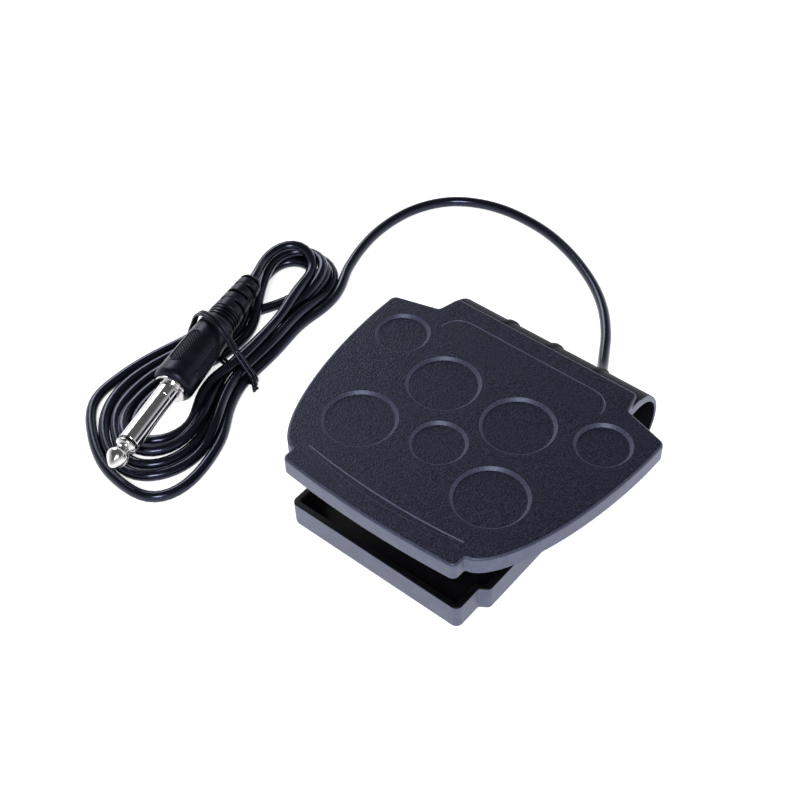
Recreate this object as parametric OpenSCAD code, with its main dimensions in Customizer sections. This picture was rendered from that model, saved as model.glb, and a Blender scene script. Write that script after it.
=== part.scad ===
// Sustain pedal for a keyboard: a treadle and a base tray joined at the rear by one C-shaped
// flexing web, a leaf switch between them, and a cord that ends in a 6.35 mm phone plug.
// +X points to the right, +Y to the rear where the cord leaves, +Z up.
// The origin is on the floor under the middle of the pedal's width and depth, cord not counted.

/* [Pedal] */
// Overall depth, from the bowed lip to the back of the web
depth = 86.4; // [80:0.2:104]
// Slope of the treadle at rest, front up
pitch = 1.4; // [0:0.1:3]

/* [Treadle] */
// Greatest width, across the ears
treadle_w = 91; // [76:0.5:110]
// Width of the straight front lip
lip_w = 56.4; // [48:0.2:58]
// Length of the lip before the sides flare out
lip_len = 4; // [3:0.5:6]
// How far the lip bows forward in the middle
lip_bow = 1.4; // [0.5:0.1:3]
// Width of the tongue that runs back over the web, at its rear edge
tongue_w = 60.4; // [56:0.2:68]
// Height of the tongue above the web
tongue_step = 1.7; // [1.4:0.1:2.2]
// Distance from the back of the web to the outer corner of an ear
ear_back = 19.5; // [17:0.5:22]
// How far an ear's rear edge slants back towards the tongue
ear_slant = 3.5; // [2:0.5:5]
// Thickness of the deck
deck_t = 2.6; // [2:0.1:3]
// Height of the skirt, deck included
skirt_h = 5.4; // [4.5:0.1:6.5]
// Thickness of the skirt
skirt_t = 1.8; // [1.2:0.1:2.4]

/* [Tread pattern] */
// Radius of the large round recesses
large_r = 10.2; // [8:0.1:11]
// Radius of the small round recesses
small_r = 7.7; // [6:0.1:8.5]
// Depth of the round recesses
recess_d = 0.9; // [0.4:0.1:1.4]
// Depth of the crescent and of the rear line
line_d = 0.4; // [0.2:0.1:0.8]

/* [Web] */
// Outer radius of the C-shaped web
web_r = 12; // [10:0.1:14]
// Width of the web
web_w = 62.8; // [58:0.2:70]
// Thickness of the web at its back, where it bends
web_t = 0.9; // [0.7:0.1:1.4]
// Thickness of the web's upper leg
web_top_t = 2.8; // [2.4:0.1:3.2]
// How far the three ribs stand out from the web
rib_h = 0.6; // [0.3:0.1:0.8]

/* [Base] */
// Width of the tray behind its narrow front
base_w = 61.4; // [58:0.2:70]
// Height of the tray's rim above the floor
rim_z = 8.7; // [7.5:0.1:11]
// Thickness of the tray's walls
wall_t = 1.8; // [1.2:0.1:2.4]
// Thickness of the tray's floor
floor_t = 2; // [1.6:0.1:2.4]
// Length of the narrow front of the tray
base_lip_len = 9.4; // [6:0.1:12]
// How far the feet stand out below the tray
foot_proud = 0.4; // [0.3:0.1:1]
// Radius of a foot
foot_r = 5; // [4:0.5:6]
// Travel of the treadle at its stops, in degrees
press_deg = 7; // [4:0.5:7.5]

/* [Switch] */
// Length of the moving leaf from its bend to its tip
leaf_len = 20; // [18:0.5:24]
// Angle of the leaf above level at rest
leaf_up = 8; // [7:0.5:9]
// Thickness of the leaf and of the fixed contact
leaf_t = 0.4; // [0.3:0.1:0.6]
// Thickness of the contact board
board_t = 1.6; // [1.2:0.2:2]

/* [Cord] */
// Diameter of the cord
cord_d = 3.2; // [2.6:0.1:4]
// Radius of the strain relief where it passes the web
gland_r = 3; // [2.8:0.1:3.6]
// Height of the tied hank
hank_h = 6.6; // [5:0.2:8]

/* [Plug] */
// Diameter of the plug's metal sleeve
sleeve_d = 6.35; // [6.35:0.01:6.4]
// Length of the metal pin, from the tip to the collar
pin_len = 31; // [30:0.5:33]
// Diameter of the moulded grip at its front
grip_d = 12.6; // [11:0.2:15.2]
// Length of the moulded grip
grip_len = 27; // [22:0.5:33]
// Length of the ringed and segmented strain relief behind the grip
relief_len = 21; // [18:0.5:24]

/* [Hidden] */
$fn = 48;

over = 1;            // how far a cut runs past the surface it opens
gap = 0.3;           // air between pieces that pass or lie beside each other
fit = 0.05;          // radial clearance of a sliding or seated round fit

rear_y = depth / 2;
lip_y = lip_bow - depth / 2;
notch_y = lip_y + lip_len;
ear_y = rear_y - ear_back;
ear_edge = 5.5;
widest_y = ear_y - ear_edge;
root_y = ear_y + ear_slant;
root_w = tongue_w + 3.4;
hinge_y = rear_y - web_r;
hinge_z = foot_proud + web_r;
tongue_y = hinge_y + 2.7;
top_z = hinge_z + web_r + tongue_step;
floor_z = foot_proud + floor_t;
base_y = lip_y + 0.9;
base_corner_r = 2;
rib_xs = [-15.3, 0, 15.3];
rib_w = 1.5;
rib_low = 3;

// Positions of the round recesses on the deck
pattern_y = hinge_y - 44;
large_spots = [[-12.4, 17.6], [12.4, 17.6], [-21.5, -6.2], [21.5, -6.2]];
small_spots = [[-33.5, 25.8], [33.5, 25.8], [0, 0]];

// Stops, switch and cable inside the tray
stop_x = 20;
stop_y = hinge_y - 53.2;
bumper_r = 3.5;
bumper_h = 3.6;
post_r = 2.5;
boss_h = 1.4;
board = [24, 32];
board_y = hinge_y - 31.2;
board_z = floor_z + boss_h;
board_top = board_z + board_t;
board_screw_y = 12.5;
bend_y = board_y + 8;
bend_z = board_top + 5;
stand = [10, 6];
leaf_w = 8;
rivet_at = leaf_len - 2;
touch_at = leaf_len - 6;
tip_r = 2.5;
tip_y = bend_y - touch_at;
tip_low_z = bend_z + touch_at * sin(leaf_up) + leaf_t / 2 + gap + 0.25;
exit_x = 8;
exit_z = floor_z + 2.8;
clamp_y = hinge_y - 8.5;
clamp = [20, 5, 2.4];
clamp_screw_x = 6.5;
inner_end_y = clamp_y - 5;
inner_start_y = rear_y - 1;
gland_in_y = hinge_y + 4.5;
gland_out_y = rear_y + 3.6;
screw_r = 1.2;
screw_head_r = 2.2;
screw_head_h = 1.4;

// Plug: its tip's point and the direction towards the cord, both in plan
plug_at = [-74.5, -63];
plug_turn = 15;
plug_z = hank_h + sleeve_d / 2 + 0.225;
insulator_at = 8.2;
insulator_len = 1;
collar_len = 1;
grip_at = pin_len + collar_len;
relief_at = grip_at + grip_len;
plug_end = relief_at + relief_len;
grip_back_r = grip_d / 2 - 0.9;
ring_zone = 5;
ring_n = 4;
segment_n = 4;
pad_n = 4;
pad_len = 14;
pad_w = 4;
pad_t = 0.6;
tie_at = relief_at - 3;
tie_skew = 20;
tie_d = 1.3;
tie_left = -12;
tie_right = 19;
tie_bend = 3;
hank_wide = [-82.3, -39, 24];
hank_narrow = [-91, 29, 12.2];

// The free stretch of the cord, from the strain relief to the hank, lying on the floor
lay_z = cord_d / 2;
cord_route = [
    [exit_x, inner_start_y + 0.1, exit_z], [exit_x, gland_out_y - 0.2, exit_z],
    [exit_x, gland_out_y + 1.2, exit_z], [7.4, 52, lay_z + 2.1], [5.6, 56, lay_z + 0.7],
    [2.5, 61.5, lay_z + 0.1], [-2, 69, lay_z], [-8.5, 77, lay_z], [-16, 83.5, lay_z],
    [-25, 89, lay_z], [-34, 93, lay_z],
    [-43, 95.6, lay_z], [-52, 96.6, lay_z], [-61, 96.2, lay_z], [-69, 94, lay_z], [-76, 90, lay_z],
    [-81, 84.5, lay_z], [-84.5, 77.5, lay_z], [-86.2, 69.5, lay_z], [-86.4, 61, lay_z], [-85, 52, lay_z],
    [-82.8, 44.5, lay_z], [-81, 38.6, lay_z]
];
// The short stretch that runs down from the end of the plug to the top of the hank
function plug_point(d) = [plug_at[0] - d * sin(plug_turn), plug_at[1] + d * cos(plug_turn), plug_z];
lead_steps = [[-0.03, 0.12, 0], [-0.8, 2.9, 0], [-1.8, 7.1, -0.3], [-2.4, 10.7, -0.9], [-2.8, 14.1, -1.5]];
plug_lead_route = [for (step = lead_steps) plug_point(plug_end) + step];
// Wires from the end of the cord to the solder joints
signal_route = [[7.2, inner_end_y - 0.4, exit_z + 0.7], [7.1, inner_end_y - 1.4, board_top + 1],
    [5.9, board_y + 13.4, board_top + 2], [5.9, board_y + 10, board_top + 1.8],
    [6.5, board_y + 7.2, board_top + 0.9], [7.6, board_y + 6, board_top + 0.6]];
ground_route = [[8.8, inner_end_y - 0.4, exit_z + 0.7], [9.2, inner_end_y - 1.4, board_top + 1.2],
    [11.4, board_y + 14.5, board_top + 1.6], [12, board_y + 11, board_top + 1.6],
    [11.8, board_y + 5, board_top + 1.1], [11.2, board_y + 1.2, board_top + 0.7],
    [10.4, board_y, board_top + 0.6]];
wire_d = 1.1;
joint_spots = [[9, board_y + 6], [9, board_y]];

// Direction of a route at point i, the point on a smooth curve through it, and a swept tube
function unit(v) = v / norm(v);
function clampi(i, n) = max(0, min(n - 1, i));
function spline(p, i, t) =
    let (a = p[clampi(i - 1, len(p))], b = p[i], c = p[clampi(i + 1, len(p))],
         d = p[clampi(i + 2, len(p))])
    0.5 * ((2 * b) + (c - a) * t + (2 * a - 5 * b + 4 * c - d) * t * t
        + (3 * b - a - 3 * c + d) * t * t * t);
function smooth(p, k) = concat(
    [for (i = [0 : len(p) - 2]) for (j = [0 : k - 1]) spline(p, i, j / k)], [p[len(p) - 1]]);
function heading(p, i) = unit(p[clampi(i + 1, len(p))] - p[clampi(i - 1, len(p))]);
function sideways(h) = unit(cross([0, 0, 1], h));

// Tube of diameter d swept along points p with n sides, its ends square to the route
module tube(p, d, n) {
    rings = [for (i = [0 : len(p) - 1])
        let (h = heading(p, i), s = sideways(h), u = cross(h, s))
        for (k = [0 : n - 1]) p[i] + d / 2 * (s * cos(360 * k / n) + u * sin(360 * k / n))];
    last = len(p) - 1;
    polyhedron(rings, concat(
        [[for (k = [0 : n - 1]) k]],
        [for (i = [0 : last - 1]) for (k = [0 : n - 1])
            [i * n + k, (i + 1) * n + k, (i + 1) * n + (k + 1) % n, i * n + (k + 1) % n]],
        [[for (k = [n - 1 : -1 : 0]) last * n + k]]));
}

// Outline of the treadle in plan, moved inwards by d, from the lip back to the ears' roots
function flare(t) = pow(1 - pow(t, 1.8), 1 / 1.8);
function right_side(d) = concat(
    [for (i = [1 : 6]) let (x = i / 6 * (lip_w / 2 - d))
        [x, lip_y + d - lip_bow * (1 - pow(2 * x / lip_w, 2))]],
    [for (i = [12 : -1 : 0]) let (t = i / 12)
        [lip_w / 2 - d + (treadle_w - lip_w) / 2 * flare(t),
         widest_y - t * (widest_y - notch_y - d)]],
    [[treadle_w / 2 - d - 0.1, ear_y - 1.5 - d],
     [treadle_w / 2 - d - 1.4, ear_y - d],
     [root_w / 2 - d, root_y - d]]);
function mirrored(p) = [for (i = [len(p) - 1 : -1 : 0]) [-p[i][0], p[i][1]]];

// Moves a shape drawn on the deck's top surface, at z 0, to the sloping treadle
module on_deck() {
    translate([0, tongue_y, top_z]) rotate([-pitch, 0, 0]) translate([0, -tongue_y, 0]) children();
}

// A round recess with a sloping wall, as a cutter
module recess(at, r) {
    translate([at[0], pattern_y + at[1], -recess_d])
        cylinder(h = 2 * recess_d, r1 = r - recess_d, r2 = r + recess_d);
}

// The crescent behind the lip and the line at the tongue's root, as cutters
module crescent() {
    half = lip_w / 2 - 3;
    rows = [for (i = [-12 : 12]) i / 12];
    translate([0, 0, -line_d]) linear_extrude(line_d + over) polygon(concat(
        [for (t = rows) [half * t, notch_y + 3.3 - 3.5 * (1 - t * t)]],
        [for (i = [11 : -1 : -11]) let (t = i / 12) [half * t, notch_y + 3.3 - 1.4 * (1 - t * t)]]));
}
module root_line() {
    r = 6;
    half = tongue_w / 2 - 9.5;
    y = root_y + 0.4;
    translate([-half, y - 0.6, -line_d]) cube([2 * half, 0.6, line_d + over]);
    for (s = [-1, 1]) translate([s * half, y - r, -line_d])
        rotate([0, 0, s > 0 ? 0 : 90]) rotate_extrude(angle = 90)
            translate([r - 0.6, 0]) square([0.6, line_d + over]);
}

// Stops' posts, actuator post and ribs under the deck
module under_deck() {
    for (s = [-1, 1]) translate([s * stop_x, stop_y, stop_low_z()])
        cylinder(h = top_z - stop_low_z() - deck_t / 2, r = post_r);
    translate([0, tip_y, tip_low_z + 2 * tip_r])
        cylinder(h = top_z - tip_low_z - 2 * tip_r - deck_t / 2, r = tip_r + 1);
    on_deck() {
        for (x = [-14, 14]) translate([x - 0.6, stop_y - 8, -skirt_h - 1.5])
            cube([1.2, 48, skirt_h]);
        for (y = [stop_y, tip_y, tip_y + 20]) translate([-28, y - 0.6, -skirt_h - 0.5])
            cube([56, 1.2, skirt_h - 1]);
    }
}
// Height of a stop post's foot that just clears its bumper at full travel
function stop_low_z() = hinge_z + (floor_z + bumper_h + 0.1 - hinge_z
    + (hinge_y - stop_y + post_r) * sin(press_deg)) / cos(press_deg);

// Plan of the tapering tongue, from the ears' roots to y
module tongue(y) {
    half = root_w / 2 - (root_w - tongue_w) / 2 * (y - root_y) / (tongue_y - root_y);
    polygon([[root_w / 2, root_y - over], [root_w / 2, root_y], [half, y], [-half, y],
        [-root_w / 2, root_y], [-root_w / 2, root_y - over]]);
}

module treadle_plate() color([0.19, 0.19, 0.26]) {
    full = concat(right_side(0), mirrored(right_side(0)), [[0, lip_y - lip_bow]]);
    inner = concat(right_side(skirt_t), mirrored(right_side(skirt_t)));
    difference() {
        union() {
            on_deck() {
                translate([0, 0, -deck_t]) linear_extrude(deck_t) polygon(full);
                translate([0, 0, -skirt_h]) linear_extrude(skirt_h - deck_t / 2) difference() {
                    polygon(full);
                    polygon(inner);
                }
                translate([0, 0, -deck_t]) linear_extrude(deck_t) tongue(hinge_y - 0.1);
                translate([0, 0, 0.1 - tongue_step]) linear_extrude(tongue_step - 0.1) tongue(tongue_y);
            }
            translate([-web_w / 2, root_y - 6, hinge_z + web_r - web_top_t])
                cube([web_w, hinge_y - root_y + 6, web_top_t]);
            under_deck();
        }
        on_deck() {
            for (at = large_spots) recess(at, large_r);
            for (at = small_spots) recess(at, small_r);
            crescent();
            root_line();
        }
    }
}

// Rounded nylon tip that presses the leaf
module actuator_tip() color([0.85, 0.85, 0.82]) translate([0, tip_y, tip_low_z + tip_r]) {
    sphere(r = tip_r);
    cylinder(h = tip_r, r = tip_r);
}

// C-shaped web: a ring open to the front, thin at its back, with three ribs round its outside
module web_run(w, r) translate([-w / 2, hinge_y, hinge_z]) rotate([90, 0, 90]) linear_extrude(w)
    difference() {
        circle(r = r, $fn = 96);
        translate([-2 * r, -2 * r]) square([2 * r, 4 * r]);
    }
module web_hollow(w) translate([-w / 2, hinge_y, hinge_z]) rotate([90, 0, 90]) linear_extrude(w) {
    mean_t = (web_top_t + floor_t) / 2;
    translate([mean_t - web_t, (floor_t - web_top_t) / 2]) {
        circle(r = web_r - mean_t, $fn = 96);
        translate([-2 * web_r, mean_t - web_r]) square([2 * web_r, 2 * (web_r - mean_t)]);
    }
}
module hinge_web() color([0.2, 0.2, 0.27]) difference() {
    union() {
        web_run(web_w, web_r);
        for (x = rib_xs) intersection() {
            translate([x, 0, 0]) web_run(rib_w, web_r + rib_h);
            translate([x - rib_w, tongue_y + gap, foot_proud + rib_low])
                cube([2 * rib_w, web_r + over, 2 * web_r]);
        }
    }
    web_hollow(web_w + 2 * over);
    translate([exit_x, rear_y + over, exit_z]) rotate([90, 0, 0])
        cylinder(h = web_r, r = gland_r + fit);
}

// Outline of the tray in plan, moved inwards by d
function corner(x, y, r, a0, a1) = [for (i = [0 : 6])
    let (a = a0 + (a1 - a0) * i / 6) [x + r * cos(a), y + r * sin(a)]];
function tray_side(d) = concat(
    corner(lip_w / 2 - base_corner_r, base_y + base_corner_r, base_corner_r - d, -90, 0),
    [[lip_w / 2 - d, base_y + base_lip_len - 0.8 + d], [base_w / 2 - d, base_y + base_lip_len + 0.8 + d],
     [base_w / 2 - d, hinge_y - (d > 0 ? 2 : 0)]]);
module tray_shape(d) polygon(concat(tray_side(d), mirrored(tray_side(d))));

module base_tray() color([0.5, 0.52, 0.6]) difference() {
    union() {
        translate([0, 0, foot_proud]) linear_extrude(floor_t) tray_shape(0);
        translate([0, 0, foot_proud]) difference() {
            linear_extrude(rim_z - foot_proud) tray_shape(0);
            translate([0, 0, -over]) linear_extrude(rim_z + 2 * over) tray_shape(wall_t);
            translate([-base_w / 2 + wall_t, hinge_y - 4, -over])
                cube([base_w - 2 * wall_t, 4 + over, rim_z + 2 * over]);
        }
        for (s = [-1, 1]) {
            translate([s * (board[0] / 2 - 3), board_y + s * board_screw_y, floor_z - over / 2])
                cylinder(h = boss_h + over / 2, r = 2.8);
            translate([-s * (board[0] / 2 - 3), board_y + s * board_screw_y, floor_z - over / 2])
                cylinder(h = boss_h + over / 2, r = 2.8);
            translate([exit_x + s * clamp_screw_x, clamp_y, floor_z - over / 2])
                cylinder(h = exit_z + cord_d / 2 - floor_z + over / 2, r = 2.6);
            translate([s * stop_x, stop_y, floor_z - over / 2]) difference() {
                cylinder(h = over / 2 + 1.5, r = bumper_r + 1.2);
                translate([0, 0, over / 2]) cylinder(h = 2 * over + 1, r = bumper_r + fit);
            }
        }
        for (y = [stop_y + 8, clamp_y - 8]) translate([-base_w / 2 + wall_t / 2, y - 0.5, floor_z - 0.5])
            cube([base_w - wall_t, 1, 1.5]);
    }
    for (s = [-1, 1]) {
        for (y = foot_ys()) translate([s * foot_x(), y, foot_proud - over])
            cylinder(h = over + foot_sunk(), r = foot_r + fit);
        translate([s * (board[0] / 2 - 3), board_y + s * board_screw_y, floor_z - 0.6])
            cylinder(h = boss_h + over, r = screw_r);
        translate([exit_x + s * clamp_screw_x, clamp_y, floor_z])
            cylinder(h = rim_z, r = screw_r);
    }
}

// Places of the feet, and how deep they sit in the tray
function foot_x() = lip_w / 2 - 7;
function foot_ys() = [base_y + 9, hinge_y - 8.5];
function foot_sunk() = 0.8;

module rubber_feet() color([0.1, 0.1, 0.11])
    for (s = [-1, 1]) for (y = foot_ys()) translate([s * foot_x(), y, 0])
        cylinder(h = foot_proud + foot_sunk(), r = foot_r);

module stop_bumpers() color([0.12, 0.12, 0.13])
    for (s = [-1, 1]) translate([s * stop_x, stop_y, floor_z]) cylinder(h = bumper_h, r = bumper_r);

module contact_board() color([0.55, 0.4, 0.22]) difference() {
    translate([-board[0] / 2, board_y - board[1] / 2, board_z]) cube([board[0], board[1], board_t]);
    for (s = [-1, 1]) translate([s * (board[0] / 2 - 3), board_y + s * board_screw_y, board_z - over])
        cylinder(h = board_t + 2 * over, r = screw_r + fit);
}

// Pan-head screw with a slot, its head's seat at z 0
module screw(len) {
    difference() {
        cylinder(h = screw_head_h, r = screw_head_r);
        translate([-screw_head_r, -0.3, screw_head_h - 0.6]) cube([2 * screw_head_r, 0.6, over]);
    }
    translate([0, 0, -len]) cylinder(h = len, r = screw_r - fit);
}

module board_screws() color([0.75, 0.75, 0.78])
    for (s = [-1, 1]) translate([s * (board[0] / 2 - 3), board_y + s * board_screw_y, board_top])
        screw(board_t + boss_h);

// Brass strip on the board under the leaf's contact
module fixed_contact() color([0.85, 0.68, 0.32]) {
    translate([-3, bend_y - rivet_at - 4, board_top]) cube([6, 9, leaf_t]);
    translate([0, bend_y - rivet_at + 0.3, board_top + leaf_t]) cylinder(h = 0.2, r = 1.6);
}

module leaf_stand() color([0.2, 0.18, 0.16])
    translate([-stand[0] / 2, bend_y, board_top])
        cube([stand[0], stand[1], bend_z - board_top - leaf_t / 2]);

// The clamped end of the leaf's strip, on the stand
module leaf_tab() color([0.88, 0.72, 0.38]) difference() {
    translate([-leaf_w / 2, bend_y, bend_z - leaf_t / 2]) cube([leaf_w, stand[1], leaf_t]);
    for (s = [-1, 1]) translate([s * 2.2, bend_y + stand[1] / 2, bend_z - over])
        cylinder(h = 2 * over, r = 0.7 + fit);
}

module leaf_rivets() color([0.8, 0.8, 0.82])
    for (s = [-1, 1]) translate([s * 2.2, bend_y + stand[1] / 2, bend_z - leaf_t / 2]) {
        cylinder(h = leaf_t, r = 0.7);
        translate([0, 0, leaf_t]) cylinder(h = 0.6, r1 = 1.3, r2 = 0.9);
    }

// Moving leaf, drawn along -Y from its bend and tilted up to its rest angle
module at_leaf() translate([0, bend_y, bend_z]) rotate([-leaf_up, 0, 0]) children();
module contact_leaf() color([0.88, 0.72, 0.38]) at_leaf() difference() {
    translate([-leaf_w / 2, -leaf_len, -leaf_t / 2]) cube([leaf_w, leaf_len - 0.15, leaf_t]);
    translate([0, -rivet_at, -over]) cylinder(h = 2 * over, r = 0.8 + fit);
}
module contact_rivet() color([0.86, 0.87, 0.88]) at_leaf() translate([0, -rivet_at, 0]) {
    translate([0, 0, -leaf_t / 2]) cylinder(h = leaf_t, r = 0.8);
    translate([0, 0, leaf_t / 2]) cylinder(h = 0.5, r1 = 1.5, r2 = 1.1);
    translate([0, 0, -leaf_t / 2 - 0.6]) cylinder(h = 0.6, r1 = 1.1, r2 = 1.5);
}

module solder_joints() color([0.75, 0.76, 0.78])
    for (p = joint_spots) translate([p[0], p[1], board_top]) cylinder(h = 0.9, r1 = 1.5, r2 = 0.8);

module signal_wire() color([0.8, 0.12, 0.1]) tube(smooth(signal_route, 4), wire_d, 8);
module ground_wire() color([0.1, 0.1, 0.1]) tube(smooth(ground_route, 4), wire_d, 8);

// Bar that holds the cord down between two bosses
module cable_clamp() color([0.14, 0.14, 0.16]) difference() {
    translate([exit_x - clamp[0] / 2, clamp_y - clamp[1] / 2, exit_z + cord_d / 2]) cube(clamp);
    for (s = [-1, 1]) translate([exit_x + s * clamp_screw_x, clamp_y, exit_z])
        cylinder(h = 2 * clamp[2] + cord_d, r = screw_r + fit);
}
module clamp_screws() color([0.75, 0.75, 0.78])
    for (s = [-1, 1]) translate([exit_x + s * clamp_screw_x, clamp_y, exit_z + cord_d / 2 + clamp[2]])
        screw(clamp[2] + 3);

// Turns a profile drawn as [radius, distance] about a line along +Y
module about_y(at) translate(at) rotate([-90, 0, 0]) rotate_extrude() children();

module cord_gland() color([0.12, 0.12, 0.13]) about_y([exit_x, gland_in_y, exit_z])
    difference() {
        union() {
            square([gland_r, gland_out_y - gland_in_y - 2]);
            square([gland_r - 0.6, gland_out_y - gland_in_y]);
        }
        translate([-over, -over]) square([over + cord_d / 2 + fit, gland_out_y]);
    }

module cord_inner() color([0.07, 0.07, 0.08])
    translate([exit_x, inner_end_y, exit_z]) rotate([-90, 0, 0])
        cylinder(h = inner_start_y - inner_end_y, r = cord_d / 2);

module cord() color([0.07, 0.07, 0.08]) tube(smooth(cord_route, 3), cord_d, 8);
module cord_plug_lead() color([0.07, 0.07, 0.08]) tube(smooth(plug_lead_route, 2), cord_d, 8);

// Tied hank: a tapering outline with round ends, hollowed where the plug lies in it
module cord_hank() color([0.08, 0.08, 0.09]) difference() {
    linear_extrude(hank_h) hull() {
        translate([hank_wide[0], hank_wide[1]]) circle(r = hank_wide[2]);
        translate([hank_narrow[0], hank_narrow[1]]) circle(r = hank_narrow[2]);
    }
    at_plug(pin_len - gap) rotate([-90, 0, 0])
        cylinder(h = plug_end - pin_len + 2 * gap, r = grip_d / 2 + gap);
    at_tie() rotate([90, 0, 0]) translate([0, 0, -tie_d / 2 - gap]) linear_extrude(tie_d + 2 * gap)
        difference() {
            translate([-3 * hank_wide[2], -plug_z - over]) square([6 * hank_wide[2], plug_z + over]);
            tie_outline(-gap);
        }
}

// Moves a shape drawn along +Y to the plug's axis, d behind the tip's point
module at_plug(d) translate([plug_at[0], plug_at[1], plug_z])
    rotate([0, 0, plug_turn]) translate([0, d, 0]) children();

// Loop of covered wire round the hank and the grip, square to the plug
module at_tie() at_plug(tie_at) rotate([0, 0, -tie_skew]) children();
module tie_outline(r) hull() {
    circle(r = grip_d / 2 + gap + r);
    for (x = [tie_left + tie_bend, tie_right - tie_bend])
        translate([x, tie_d + gap / 3 + tie_bend - plug_z]) circle(r = tie_bend + r);
}
module twist_tie() color([0.05, 0.05, 0.06]) at_tie() rotate([90, 0, 0])
    translate([0, 0, -tie_d / 2]) linear_extrude(tie_d) difference() {
        tie_outline(tie_d);
        tie_outline(0);
    }

// Moulded grip with a chamfered front, and the pads let into its sides
module grip_profile() polygon([
    [0, 0], [grip_d / 2 - 1.4, 0], [grip_d / 2, 1.6], [grip_d / 2, 4], [grip_back_r, grip_len],
    [0, grip_len]]);
module grip_flats() for (i = [0 : pad_n - 1]) rotate([0, 45 + 360 / pad_n * i, 0])
    translate([0, 5 + pad_len / 2, grip_d / 2 - 0.55]) children();
module plug_grip() color([0.1, 0.1, 0.12]) at_plug(grip_at) difference() {
    rotate([-90, 0, 0]) rotate_extrude() grip_profile();
    grip_flats() translate([-pad_w / 2 - 1, -pad_len / 2 - 1, 0]) cube([pad_w + 2, pad_len + 2, 2]);
}
module grip_pads() color([0.16, 0.16, 0.18]) at_plug(grip_at) intersection() {
    grip_flats() {
        translate([-pad_w / 2, pad_w / 2 - pad_len / 2, 0]) cube([pad_w, pad_len - pad_w, pad_t / 2]);
        for (s = [-1, 1]) translate([0, s * (pad_len - pad_w) / 2, 0])
            cylinder(h = pad_t / 2, r = pad_w / 2);
    }
    translate([0, grip_len / 2, 0]) cube([grip_d, grip_len, grip_d], center = true);
}

// Rings behind the grip, then segments that taper to the cord
module plug_relief() color([0.1, 0.1, 0.11]) at_plug(relief_at) rotate([-90, 0, 0]) {
    seg = (relief_len - ring_zone) / segment_n;
    rotate_extrude() {
        square([3.2, relief_len]);
        for (i = [0 : ring_n - 1]) translate([0, i * ring_zone / ring_n])
            square([grip_back_r - 0.3 - 0.15 * i, 0.7 * ring_zone / ring_n]);
        for (i = [0 : segment_n - 1]) translate([0, ring_zone + i * seg])
            polygon([[0, 0.25 * seg], [4.6 - 0.3 * i, 0.25 * seg], [4.3 - 0.3 * i, seg], [0, seg]]);
    }
}

module plug_collar() color([0.8, 0.8, 0.8]) at_plug(pin_len) rotate([-90, 0, 0]) difference() {
    cylinder(h = collar_len, r = sleeve_d / 2 + 1.7);
    translate([0, 0, -over]) cylinder(h = collar_len + 2 * over, r = sleeve_d / 4);
}
module plug_sleeve() color([0.78, 0.78, 0.78]) at_plug(insulator_at + insulator_len) rotate([-90, 0, 0])
    cylinder(h = pin_len - insulator_at - insulator_len, r = sleeve_d / 2);
module plug_insulator() color([0.05, 0.05, 0.05]) at_plug(insulator_at) rotate([-90, 0, 0])
    cylinder(h = insulator_len, r = sleeve_d / 2);
module plug_tip() color([0.8, 0.8, 0.8]) at_plug(0) rotate([-90, 0, 0]) rotate_extrude()
    polygon([[0, 0], [0.5, 0.1], [0.9, 0.5], [2.9, 3.9], [3.15, 4.6], [3.1, 5.3], [2.3, 6.9], [2.3, 7.5],
        [2.95, 7.7], [2.95, insulator_at], [0, insulator_at]]);

base_tray();
hinge_web();
rubber_feet();
stop_bumpers();
contact_board();
board_screws();
fixed_contact();
leaf_stand();
leaf_tab();
leaf_rivets();
solder_joints();
signal_wire();
ground_wire();
cable_clamp();
clamp_screws();
cord_gland();
cord_inner();
treadle_plate();
actuator_tip();
contact_leaf();
contact_rivet();
cord();
cord_plug_lead();
cord_hank();
twist_tie();
plug_grip();
grip_pads();
plug_relief();
plug_collar();
plug_sleeve();
plug_insulator();
plug_tip();
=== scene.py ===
"""Looks of a keyboard sustain pedal: treadle, flexing web, tray, switch, tied cord and phone plug.

Sizes are in millimetres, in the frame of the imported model, and become metres when a mesh is made.
"""

import logging
import math
from collections.abc import Callable, Iterable, Sequence
from dataclasses import dataclass, field
from enum import Enum

import bmesh
import bpy
import numpy as np
from mathutils import Matrix, Vector
from mathutils.geometry import delaunay_2d_cdt


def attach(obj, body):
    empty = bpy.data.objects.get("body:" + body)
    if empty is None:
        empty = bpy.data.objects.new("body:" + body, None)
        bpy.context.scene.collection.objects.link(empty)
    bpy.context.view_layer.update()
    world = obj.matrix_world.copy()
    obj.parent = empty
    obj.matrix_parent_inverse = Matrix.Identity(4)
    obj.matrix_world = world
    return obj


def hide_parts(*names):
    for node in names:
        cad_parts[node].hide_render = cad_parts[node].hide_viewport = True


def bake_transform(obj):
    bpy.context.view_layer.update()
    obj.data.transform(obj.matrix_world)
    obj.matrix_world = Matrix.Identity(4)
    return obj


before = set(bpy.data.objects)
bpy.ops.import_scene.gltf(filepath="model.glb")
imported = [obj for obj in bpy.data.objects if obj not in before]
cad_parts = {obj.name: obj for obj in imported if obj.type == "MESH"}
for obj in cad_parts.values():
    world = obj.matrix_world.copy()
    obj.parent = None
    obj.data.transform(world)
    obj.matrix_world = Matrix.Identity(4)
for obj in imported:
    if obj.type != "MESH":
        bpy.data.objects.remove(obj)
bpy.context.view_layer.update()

Point2 = tuple[float, float]
Point3 = tuple[float, float, float]
Corner = tuple[float, float, float]  # across, along, and the corner's radius
Post = tuple[float, float, float, float]  # across, along, radius, and the height of its end
Place = Callable[[float, float, float], Point3]

MM = 0.001
# A softened edge: how far the outline is drawn in, at which distance from the end
SOFT_EDGE = ((0.0, 0.25), (0.07, 0.07), (0.25, 0.0))
# The edge radius of an end that is buried in another shape, and how deep it is buried
BURIED, ROOTED = 0.01, 0.1
log = logging.getLogger("pedal")


# ---------------------------------------------------------------- materials


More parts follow.
